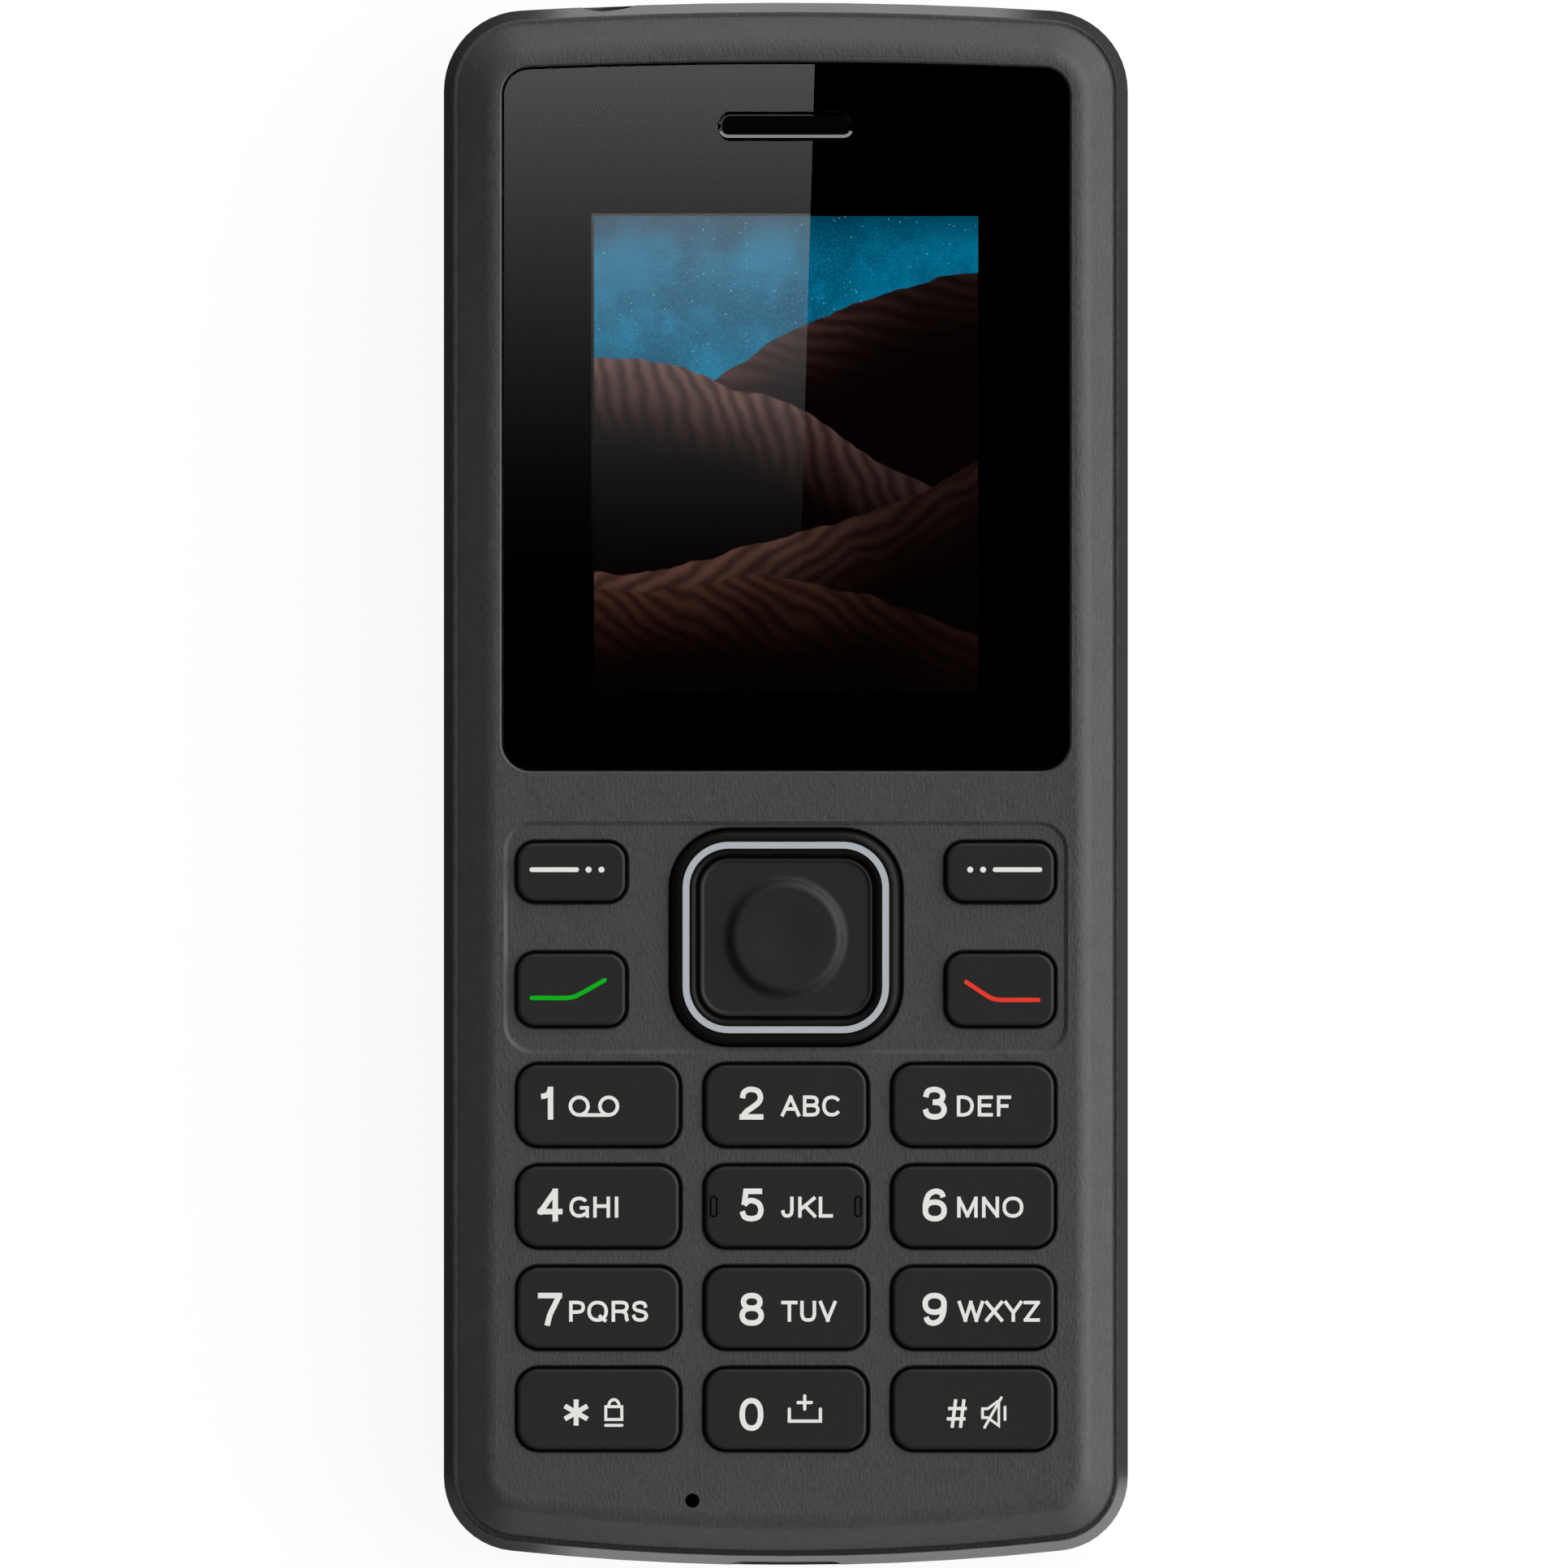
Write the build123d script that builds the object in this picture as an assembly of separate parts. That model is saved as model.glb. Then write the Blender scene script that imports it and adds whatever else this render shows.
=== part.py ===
from build123d import *
import math
import os

# Candybar feature phone with a number keypad, lying on its back on a table.
# X runs across the phone, Y along it towards the earpiece, and Z up out of the screen.
# Z = 0 is the flat back of the battery cover, and X = Y = 0 is the middle of the phone.
# All sizes are millimetres.

# Plan outline of the phone: two straight sides, two bowed ends and four round corners
phone_width = 50.0
phone_length = 114.2
top_corner_radius = 5.9
bottom_corner_radius = 5.45
top_crown = 0.95
bottom_crown = 1.65
end_pieces = 6
half_width = phone_width / 2
half_length = phone_length / 2

# Clearances and overruns shared by all pieces
overrun = 1.0
seat_gap = 0.05
slip_gap = 0.15

# Battery cover, a shallow tub that clips on from behind
cover_wall = 1.0
cover_side_height = 4.0
cover_gap = 0.2
back_edge_radius = 3.6
cover_tab_length = 4.0
cover_tab_depth = 0.5
cover_tab_gap = 0.2
cover_tab_shares = (-0.67, -0.07, 0.53)
thumb_notch_width = 11.0
thumb_notch_depth = 0.9
grille_side_room = 15.0
grille_x = half_width - grille_side_room
grille_foot_room = 15.1
grille_y = grille_foot_room - half_length
grille_slot_length = 10.0
grille_slot_width = 0.9
grille_slot_pitch = 1.8
grille_slot_count = 4

# Battery pack and its terminals
battery_side_room = 8.0
battery_width = phone_width - 2 * battery_side_room
battery_head_room = 33.6
battery_foot_room = 27.6
battery_length = phone_length - battery_head_room - battery_foot_room
battery_thickness = 5.0
battery_y = (battery_foot_room - battery_head_room) / 2
battery_side_gap = 0.4
battery_gap = 0.15
battery_edge_radius = 1.2
battery_cap_length = 2.6
terminal_width = 1.6
terminal_height = 2.4
terminal_pitch = 2.6
terminal_side_room = 9.0
terminal_x = battery_width / 2 - terminal_side_room
terminal_thickness = 0.1

# Rear housing: side band, rear deck and battery bay
deck_wall = 1.0
bay_wall = 0.8
bay_floor_wall = 0.7
split_gap = 0.12
case_wall = 1.0
rebate_wall = 1.6
rebate_depth = 0.95
band_inset = 0.7
band_taper_height = 2.75

# Main board and the parts on its rear face
socket_room = 1.1
board_thickness = 0.8
board_inset = 2.9
sim_length = 14.0
sim_middle_bar = 2.4
sim_side_bar = 0.4
sim_width = (battery_width - sim_middle_bar - 2 * sim_side_bar) / 2
sim_x = (sim_middle_bar + sim_width) / 2
sim_end_room = 8.9
sim_y = battery_y + battery_length / 2 - sim_end_room
sim_height = 1.15
sim_shell = 0.2
card_socket_length = 13.0
card_socket_inset = 1.4
card_socket_width = sim_width - card_socket_inset
card_socket_x = -sim_x
socket_row_gap = 3.3
card_socket_y = sim_y - (sim_length + card_socket_length) / 2 - socket_row_gap
socket_window_gap = 0.4
socket_window_share = 0.62
shield_end_room = 2.0
shield_low_y = battery_y - battery_length / 2 + shield_end_room
baseband_high_y = sim_y - sim_length / 2 - socket_row_gap
radio_high_y = card_socket_y - card_socket_length / 2 - socket_row_gap
shield_height = 0.95
shield_shell = 0.2

# Keypad stack on the front face of the board
film_thickness = 0.1
dome_height = 0.22
dome_radius = 1.5
web_lift = 0.6
web_thickness = 0.3
keymat_rim = 0.8
keymat_side_room = 4.0
keymat_half_width = half_width - keymat_side_room
keymat_radius = 2.0
key_travel = 0.3
press_gap = 0.06
stem_radius = 1.0
stem_hole_gap = 0.25
collar_wall = 0.6
key_flange = 0.45
key_flange_thickness = 0.6
key_proud = 0.35
key_edge_radius = 0.25
key_gap = 0.22

# Number keys
number_side_room = 5.22
number_bar = 1.48
number_key_hole_width = (phone_width - 2 * number_side_room - 2 * number_bar) / 3
number_key_hole_height = 6.3
number_key_radius = 1.75
number_pitch_x = number_key_hole_width + number_bar
number_pitch_y = 7.393
number_foot_room = 33.66
number_top_y = number_foot_room - half_length
tactile_ridge_inset = 0.83
tactile_ridge_x = number_key_hole_width / 2 - tactile_ridge_inset
tactile_ridge_length = 1.34
tactile_ridge_width = 0.3
tactile_ridge_height = 0.08
tactile_groove_width = 0.13
tactile_groove_depth = 0.14

# Function keys either side of the navigation key, in a shallow sunk panel
panel_side_room = 4.4
panel_width = phone_width - 2 * panel_side_room
panel_height = 16.96
panel_rise = 12.24
panel_y = number_top_y + panel_rise
panel_radius = 2.15
panel_depth = 0.2
panel_slope = 0.3
nav_side_bar = 2.95
nav_hole_width = 17.1
function_key_hole_width = half_width - number_side_room - nav_hole_width / 2 - nav_side_bar
function_key_x = half_width - number_side_room - function_key_hole_width / 2
function_key_radius = 1.5
soft_key_rise = 4.78
soft_key_y = panel_y + soft_key_rise
soft_key_hole_height = 4.66
call_key_drop = 3.8
call_key_y = panel_y - call_key_drop
call_key_hole_height = 5.66

# Navigation key: rocking ring with a bright trim, and the select key inside it
nav_y = panel_y
nav_hole_height = 16.0
nav_hole_radius = 4.4
nav_gap = 0.2
nav_bar_width = 1.85
nav_proud = 0.4
nav_outer_round = 0.7
nav_inner_round = 0.42
nav_flange = 0.6
nav_flange_thickness = 0.4
nav_rebate = 0.6
nav_rebate_depth = 1.35
nav_rock_gap = 0.55
nav_tilt_room = 0.4
nav_stem_radius = 0.5
nav_stem_inset = 0.5
trim_width = 0.49
trim_inset = 0.82
trim_sink = 0.25
trim_proud = 0.03
pivot_gap = 0.3
pivot_ring_thickness = 0.25
pivot_ring_inset = 1.25
pivot_ring_bar = 1.2
pivot_ridge_radius = 0.25
select_gap = 0.2
select_pad_proud = 0.15
select_flange = 0.35
select_flange_thickness = 0.6
select_edge_radius = 0.08
select_rim = 0.1
select_sink = 0.12
select_basin_round = 0.3
select_dome_base = 4.6
select_dome_top = 3.6
select_dome_height = 0.6
select_dish_radius = 3.5
select_dish_depth = 0.12

# Front housing
front_wall = 1.6
front_inset = 0.7
front_case_wall = 2.1
parting_gap = 0.15
lip_height = 0.64
bevel_drop = 2.26
bevel_inset = 2.45
bevel_round = 1.6
lip_round = 0.15
lip_ledge = 0.35
skirt_wall = 0.8
hole_edge = 0.1
mic_x = -6.82
mic_foot_room = 4.8
mic_y = mic_foot_room - half_length
mic_hole_radius = 0.52

# Display window, its printed mask and the display behind it
window_side_room = 4.25
window_width = phone_width - 2 * window_side_room
window_bar = 3.64
window_low_y = panel_y + panel_height / 2 + window_bar
window_head_room = 4.37
window_high_y = half_length - window_head_room
window_crown = 0.47
window_top_radius = 2.05
window_low_radius = 2.15
window_chamfer = 0.13
lens_gap = 0.08
lens_thickness = 1.1
lens_recess = 0.12
lens_edge_round = 0.12
mask_thickness = 0.1
view_width = 28.4
view_foot_room = 5.53
view_head_room = 11.08
view_height = window_high_y - view_head_room - window_low_y - view_foot_room
view_y = window_low_y + view_foot_room + view_height / 2
view_open_gap = 0.9
lcd_gasket_thickness = 0.15
lcd_side_border = 3.0
lcd_head_border = 2.4
lcd_foot_border = 4.7
lcd_width = view_width + 2 * lcd_side_border
lcd_length = view_height + lcd_head_border + lcd_foot_border
lcd_y = view_y + (lcd_head_border - lcd_foot_border) / 2
lcd_lift = 0.35
lcd_thickness = 1.9
lcd_frame_wall = 0.5
lcd_tray_floor = 0.6
lcd_foot = 2.0
gasket_wall = 1.2
ledge_drop = 0.3
ledge_margin = 0.6
flex_width = 13.0
flex_thickness = 0.14
flex_tail = 6.0

# Earpiece
ear_slot_length = 9.5
ear_slot_height = 1.72
ear_slot_radius = 0.75
ear_slot_chamfer = 0.22
ear_head_room = 9.1
ear_y = half_length - ear_head_room
ear_mesh_thickness = 0.12
ear_port_length = 8.0
ear_port_height = 1.1
receiver_length = 15.0
receiver_width = 6.0
receiver_height = 2.1
receiver_rise = 0.9
receiver_y = ear_y + receiver_rise
receiver_round = 1.0
receiver_port_depth = 0.4

# Screws, their wells from behind and their bosses in the front
screw_head_radius = 1.3
screw_head_height = 0.9
screw_shank_radius = 0.7
screw_shank_length = 6.4
screw_recess_radius = 0.62
screw_recess_depth = 0.45
screw_well_gap = 0.25
screw_hole_gap = 0.12
thread_gap = 0.03
board_hole_gap = 0.3
screw_boss_wall = 0.85
well_depth = 3.2
front_boss_radius = 1.55
screw_top_side_room = 5.3
screw_top_x = half_width - screw_top_side_room
screw_head_room = 6.5
screw_top_y = half_length - screw_head_room
screw_mid_drop = 1.52
screw_mid_y = window_low_y - screw_mid_drop
screw_low_side_room = 7.9
screw_low_x = half_width - screw_low_side_room
screw_foot_room = 4.9
screw_low_y = screw_foot_room - half_length

# Headphone jack in the top end
jack_side_room = 12.0
jack_x = jack_side_room - half_width
jack_z = 6.5
jack_width = 6.4
jack_height = 4.7
jack_length = 13.4
jack_bore_radius = 1.8
jack_bore_length = 12.0
jack_nozzle_radius = 2.1
jack_nozzle_gap = 0.08
jack_flush = 0.25

# Charging socket in the bottom end
usb_width = 7.5
usb_height = 2.6
usb_length = 5.6
usb_shell = 0.3
usb_corner = 0.7
usb_tongue_width = 4.0
usb_tongue_height = 0.6
usb_port_gap = 0.3
usb_flush = 0.35

# Sound and vibration parts behind the board
speaker_radius = 8.0
speaker_height = 3.2
speaker_basket_round = 0.6
speaker_rib = 0.8
speaker_magnet_height = 0.7
speaker_gasket_width = 1.2
speaker_gasket_thickness = 0.3
motor_side_room = 12.5
motor_x = motor_side_room - half_width
motor_foot_room = 16.1
motor_y = motor_foot_room - half_length
motor_radius = 4.0
motor_height = 2.7
mic_radius = 1.5
mic_height = 1.4
mic_boot_wall = 0.3
keymat_mic_gap = 2.5
keymat_panel_rise = 1.32
keymat_low_y = mic_y + keymat_mic_gap
keymat_high_y = panel_y + panel_height / 2 + keymat_panel_rise

# Camera and torch
camera_head_room = 15.1
camera_y = half_length - camera_head_room
bezel_length = 17.0
bezel_width = 9.2
bezel_sink = 0.25
bezel_gap = 0.2
bezel_foot = 0.9
bezel_foot_thickness = 0.5
camera_window_radius = 2.7
camera_window_thickness = 0.6
camera_window_lip = 0.5
camera_barrel_radius = 3.0
camera_barrel_height = 0.9
camera_eye_radius = 1.5
camera_eye_depth = 0.5
camera_body_size = 7.4
camera_socket_size = 8.6
camera_jack_gap = 1.7
camera_x = jack_x + (jack_width + camera_socket_size) / 2 + camera_jack_gap
camera_socket_height = 2.4
torch_offset = 7.6
torch_radius = 1.5
torch_led_size = 3.0
torch_led_height = 0.8

# Antenna plate on two feet behind the board
antenna_gap = 0.7
boss_radius = screw_head_radius + screw_well_gap + screw_boss_wall
antenna_length = screw_low_x - boss_radius - usb_width / 2 - 2 * antenna_gap
antenna_width = 6.0
antenna_thickness = 0.25
antenna_height = 3.6
antenna_x = -(usb_width + antenna_length) / 2 - antenna_gap
antenna_foot_room = 6.5
antenna_y = antenna_foot_room - half_length
antenna_foot = 1.2
antenna_slot_width = 0.7
antenna_slot_share = 0.73
antenna_slot_length = antenna_length * antenna_slot_share
antenna_slot_pitch = 2.2

# Battery contacts
contact_block_width = 8.6
contact_block_depth = 3.2
contact_block_height = 5.6
contact_spring_reach = 0.28
contact_spring_width = 0.8
contact_spring_height = 1.8
terminal_recess = 0.3

# Heights worked out from the back of the phone to the front
z_cover_inner = cover_wall
z_deck = cover_wall + cover_gap
z_deck_top = z_deck + deck_wall
z_battery = z_cover_inner + battery_gap
z_bay_floor = z_battery + battery_thickness + battery_gap
z_bay_floor_top = z_bay_floor + bay_floor_wall
z_board = z_bay_floor_top + socket_room
z_board_top = z_board + board_thickness
z_film_top = z_board_top + film_thickness
z_dome_top = z_board_top + dome_height
z_stem_end = z_dome_top + key_travel + press_gap
z_web = z_board_top + web_lift
z_web_top = z_web + web_thickness
z_pivot_ring = z_web_top + pivot_gap
z_pivot_ring_top = z_pivot_ring + pivot_ring_thickness
z_nav_ring = z_pivot_ring_top + pivot_gap
z_nav_flange_top = z_nav_ring + nav_flange_thickness
z_lcd = z_board_top + lcd_lift
z_lcd_top = z_lcd + lcd_thickness
z_front_inner = max(z_nav_flange_top + nav_rock_gap, z_lcd_top + lcd_gasket_thickness + ledge_drop)
z_front = z_front_inner + front_wall
z_panel = z_front - panel_depth
z_ledge = z_front_inner - ledge_drop
z_lens_top = z_front - lens_recess
z_lens = z_lens_top - lens_thickness
z_ledge_top = z_lens - mask_thickness
z_bevel = z_front - bevel_drop
z_front_low = z_bevel - lip_height
z_parting = z_front_low - parting_gap
z_shoulder = z_parting - band_taper_height
z_split = cover_side_height
z_band = z_split + split_gap
z_flange_top = z_front_inner - seat_gap
z_flange = z_flange_top - key_flange_thickness
z_key_top = z_front + key_proud
z_nav_top = z_front + nav_proud
z_select_pad = z_front + select_pad_proud
z_nav_step = z_nav_top - nav_rebate_depth
z_select_flange_top = z_nav_step - nav_tilt_room
z_select_flange = z_select_flange_top - select_flange_thickness
z_collar_top = z_flange - key_travel - press_gap
z_screw_seat = z_deck + well_depth
z_screw_tip = z_screw_seat + screw_shank_length
z_window = 2 * bezel_sink
z_contact = z_battery + battery_thickness / 2

# Inner outlines, each as its distance in from the widest outline
rear_body_inset = cover_wall + cover_gap
rear_cavity_inset = rear_body_inset + case_wall
skirt_inset = rebate_wall + slip_gap
front_cavity_inset = front_inset + front_case_wall

bay_half_width = battery_width / 2 + battery_side_gap
bay_half_length = battery_length / 2 + battery_side_gap
channel_x = (bay_half_width + bay_wall + half_width - rear_cavity_inset) / 2
jack_mouth_y = half_length - top_crown * (2 * jack_x / phone_width) ** 2 - jack_flush
jack_low_y = jack_mouth_y - jack_length
jack_block_y = jack_mouth_y + jack_flush - rear_cavity_inset - 3 * slip_gap
lcd_low_y = lcd_y - lcd_length / 2


def bowed_end(side, crest, crown):
    """Arc from one side of the phone to the other, bowed out by crown, in short equal pieces."""
    radius = (side**2 + crown**2) / (2 * crown)
    reach = 2 * math.degrees(math.asin(side / radius))
    step = reach / end_pieces
    first = (180 - reach) / 2
    arcs = Curve()
    for i in range(end_pieces):
        arcs += CenterArc((0, crest - radius), radius, first + i * step, step)
    return arcs


def outline(inset, z=0):
    """Plan outline of the phone, taken in all round by inset, as a face at height z."""
    side = half_width - inset
    high = half_length - inset
    edges = bowed_end(side, high, top_crown)
    edges += Rot(180, 0, 0) * bowed_end(side, high, bottom_crown)
    for x in (-side, side):
        edges += Line((x, high - top_crown), (x, bottom_crown - high))
    face = make_face(edges)
    high_corners = [v for v in face.vertices() if abs(v.X) > side - seat_gap and v.Y > 0]
    face = fillet(high_corners, top_corner_radius - inset)
    low_corners = [v for v in face.vertices() if abs(v.X) > side - seat_gap and v.Y < 0]
    face = fillet(low_corners, bottom_corner_radius - inset)
    return Pos(0, 0, z) * face


def plate(inset, low, high):
    """Flat slab of the phone's outline between two heights."""
    return extrude(outline(inset, low), amount=high - low)


def tub(inset, low, high, radius):
    """Slab whose lower edge is rounded, for the back of the phone and what nests in it."""
    slab = plate(inset, low, high)
    return fillet(slab.faces().sort_by(Axis.Z)[0].edges(), radius)


def block(x, y, low, high, width, length, radius=0):
    """Upright block with round corners, centred on x, y."""
    if radius:
        face = RectangleRounded(width, length, radius)
    else:
        face = Rectangle(width, length)
    return extrude(Pos(x, y, low) * face, amount=high - low)


def rod(x, y, low, high, radius):
    """Upright cylinder between two heights."""
    return extrude(Pos(x, y, low) * Circle(radius), amount=high - low)


def slot(x, y, low, high, length, width):
    """Upright slot that runs across the phone."""
    return extrude(Pos(x, y, low) * SlotOverall(length, width), amount=high - low)


def top_edges(shape):
    """Edges of the highest face."""
    return shape.faces().sort_by(Axis.Z)[-1].edges()


def window_outline(inset, z):
    """Outline of the display window: straight sides and foot, bowed head."""
    side = window_width / 2 - inset
    high = window_high_y - inset
    low = window_low_y + inset
    edges = ThreePointArc((-side, high - window_crown), (0, high), (side, high - window_crown))
    edges += Line((side, high - window_crown), (side, low))
    edges += Line((side, low), (-side, low))
    edges += Line((-side, low), (-side, high - window_crown))
    face = make_face(edges)
    corners = face.vertices().sort_by(Axis.Y)
    face = fillet(corners[2:], window_top_radius - inset)
    corners = [v for v in face.vertices() if abs(v.Y - low) < seat_gap]
    face = fillet(corners, window_low_radius - inset)
    return Pos(0, 0, z) * face


def screw_places():
    """Centres of the six housing screws."""
    right = [(screw_top_x, screw_top_y), (channel_x, screw_mid_y), (screw_low_x, screw_low_y)]
    return right + [(-x, y) for x, y in right]


def number_key_places():
    """Name and centre of each of the twelve number keys, row by row."""
    names = ["1", "2", "3", "4", "5", "6", "7", "8", "9", "star", "0", "hash"]
    columns = 3
    places = []
    for i, name in enumerate(names):
        row, column = divmod(i, columns)
        x = (column - 1) * number_pitch_x
        places.append(("key_" + name, x, number_top_y - row * number_pitch_y))
    return places


def function_key_places():
    """Name, centre and hole height of each function key."""
    return [
        ("left_soft_key", -function_key_x, soft_key_y, soft_key_hole_height),
        ("right_soft_key", function_key_x, soft_key_y, soft_key_hole_height),
        ("call_key", -function_key_x, call_key_y, call_key_hole_height),
        ("end_key", function_key_x, call_key_y, call_key_hole_height),
    ]


def nav_stem_places():
    """Centres of the four switch stems under the navigation ring."""
    x = nav_hole_width / 2 - nav_gap - nav_stem_inset
    y = nav_hole_height / 2 - nav_gap - nav_stem_inset
    return [(x, nav_y), (-x, nav_y), (0, nav_y + y), (0, nav_y - y)]


def dome_places():
    """Centre of every switch on the board."""
    places = [(x, y) for _, x, y in number_key_places()]
    places += [(x, y) for _, x, y, _ in function_key_places()]
    places.append((0, nav_y))
    return places + nav_stem_places()


def rear_blank():
    """Outside of the back half: a tub with a shoulder that narrows towards the parting line."""
    body = tub(0, 0, z_shoulder, back_edge_radius)
    shoulder = loft([outline(0, z_shoulder), outline(band_inset, z_parting)], ruled=True)
    return body + shoulder


def cover_tab_places():
    """Y of each pair of tabs along the sides."""
    return [share * half_length for share in cover_tab_shares]


def make_battery_cover():
    """Shallow tub with the camera opening, speaker slots, side tabs and a thumb notch."""
    cover = tub(0, 0, z_split, back_edge_radius)
    cover -= tub(cover_wall, z_cover_inner, z_split + overrun, back_edge_radius - cover_wall)
    tab_x = half_width - cover_wall - cover_tab_depth / 2
    for y in cover_tab_places():
        for side in (-1, 1):
            tab = block(
                side * tab_x, y, z_deck_top, z_split, cover_tab_depth + seat_gap, cover_tab_length
            )
            cover += tab
    cover -= block(
        0, -half_length, z_split - thumb_notch_depth, z_split + overrun, thumb_notch_width,
        2 * cover_wall + bottom_crown,
    )
    cover -= camera_opening(-overrun, z_cover_inner + overrun, bezel_gap)
    for y in grille_rows():
        cover -= slot(grille_x, y, -overrun, z_cover_inner + overrun, grille_slot_length, grille_slot_width)
    return cover


def camera_opening(low, high, gap):
    """Pill-shaped space around the camera and torch."""
    x = camera_x + torch_offset / 2
    return slot(x, camera_y, low, high, bezel_length + 2 * gap, bezel_width + 2 * gap)


def grille_rows():
    """Y of each speaker slot."""
    middle = (grille_slot_count - 1) / 2
    return [grille_y + (i - middle) * grille_slot_pitch for i in range(grille_slot_count)]


def jack_cut(gap):
    """Room for the jack's nozzle through the top end of the housing."""
    reach = jack_length
    face = Plane.XZ * Pos(jack_x, jack_z) * Circle(jack_nozzle_radius + gap)
    return extrude(Pos(0, half_length + overrun, 0) * face, amount=reach)


def usb_mouth(gap, radius):
    """Outline of the charging socket on an XZ plane, grown by gap."""
    face = RectangleRounded(usb_width + 2 * gap, usb_height + 2 * gap, radius + gap)
    return Plane.XZ * Pos(0, z_board - usb_height / 2) * face


def make_rear_housing():
    """Side band, rear deck and battery bay in one moulding, open towards the screen."""
    band = rear_blank() & plate(-overrun, z_band, z_parting)
    body = tub(rear_body_inset, z_deck, z_band, back_edge_radius - rear_body_inset)
    housing = band + body
    cavity = tub(rear_cavity_inset, z_deck_top, z_parting + overrun, back_edge_radius - rear_cavity_inset)
    housing -= cavity
    housing -= plate(rebate_wall, z_parting - rebate_depth, z_parting + overrun)
    bay_width = 2 * (bay_half_width + bay_wall)
    bay_length = 2 * (bay_half_length + bay_wall)
    housing += block(0, battery_y, z_deck, z_bay_floor_top, bay_width, bay_length)
    nest = tub(rear_body_inset, z_deck, z_board, back_edge_radius - rear_body_inset)
    for x, y in screw_places():
        boss = rod(x, y, z_deck, z_board - seat_gap, boss_radius)
        housing += boss & nest
    speaker_ring = rod(grille_x, grille_y, z_deck, z_deck_top + speaker_height / 2,
                       speaker_radius + slip_gap + speaker_rib)
    speaker_ring -= rod(grille_x, grille_y, z_deck_top, z_board, speaker_radius + slip_gap)
    motor_ring = rod(motor_x, motor_y, z_deck, z_deck_top + motor_height / 2,
                     motor_radius + slip_gap + speaker_rib)
    motor_ring -= rod(motor_x, motor_y, z_deck_top, z_board, motor_radius + slip_gap)
    housing += speaker_ring + motor_ring
    housing -= block(
        0, battery_y, 0, z_bay_floor, 2 * bay_half_width, 2 * bay_half_length, battery_edge_radius
    )
    for x, y in screw_places():
        housing -= rod(x, y, 0, z_deck + well_depth, screw_head_radius + screw_well_gap)
        housing -= rod(x, y, 0, z_board, screw_shank_radius + screw_hole_gap)
    for x, y, width, length in socket_places():
        housing -= block(
            x, y, z_bay_floor - overrun, z_board, width + 2 * socket_window_gap,
            length + 2 * socket_window_gap, socket_window_gap
        )
    housing -= camera_opening(0, z_deck_top + overrun, bezel_gap)
    for y in grille_rows():
        housing -= slot(grille_x, y, 0, z_deck_top, grille_slot_length, grille_slot_width)
    block_y = battery_y + bay_half_length + contact_block_depth / 2
    housing -= block(
        terminal_x, block_y - seat_gap, z_board - contact_block_height - slip_gap, z_board,
        contact_block_width + 2 * slip_gap, contact_block_depth + 2 * seat_gap
    )
    housing -= jack_cut(jack_nozzle_gap)
    port = extrude(Pos(0, -half_length + usb_length, 0) * usb_mouth(usb_port_gap, usb_corner),
                   amount=usb_length + overrun)
    housing -= port
    tab_x = half_width - cover_wall - cover_tab_depth / 2
    for y in cover_tab_places():
        for side in (-1, 1):
            housing -= block(
                side * tab_x, y, 0, z_band, cover_tab_depth + 2 * cover_tab_gap,
                cover_tab_length + 2 * cover_tab_gap
            )
    return housing


def socket_places():
    """Centre and size of each card socket that shows in the battery bay."""
    return [
        (-sim_x, sim_y, sim_width, sim_length),
        (sim_x, sim_y, sim_width, sim_length),
        (card_socket_x, card_socket_y, card_socket_width, card_socket_length),
    ]


def shield_places():
    """Name, centre and size of each shield can."""
    places = []
    sides = (("baseband_shield", sim_x, baseband_high_y), ("radio_shield", -sim_x, radio_high_y))
    for name, x, high_y in sides:
        y = (high_y + shield_low_y) / 2
        places.append((name, x, y, card_socket_width, high_y - shield_low_y))
    return places


def opening(x, y, width, length, radius, top, chamfer_size):
    """Cutting block for an opening with round corners and a chamfer at its top edge."""
    cut = block(x, y, z_ledge - overrun, top + overrun, width, length, radius)
    low = Pos(x, y, top - chamfer_size) * RectangleRounded(width, length, radius)
    grow = 2 * chamfer_size
    high = Pos(x, y, top) * RectangleRounded(width + grow, length + grow, radius + chamfer_size)
    return cut + loft([low, high], ruled=True)


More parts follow.
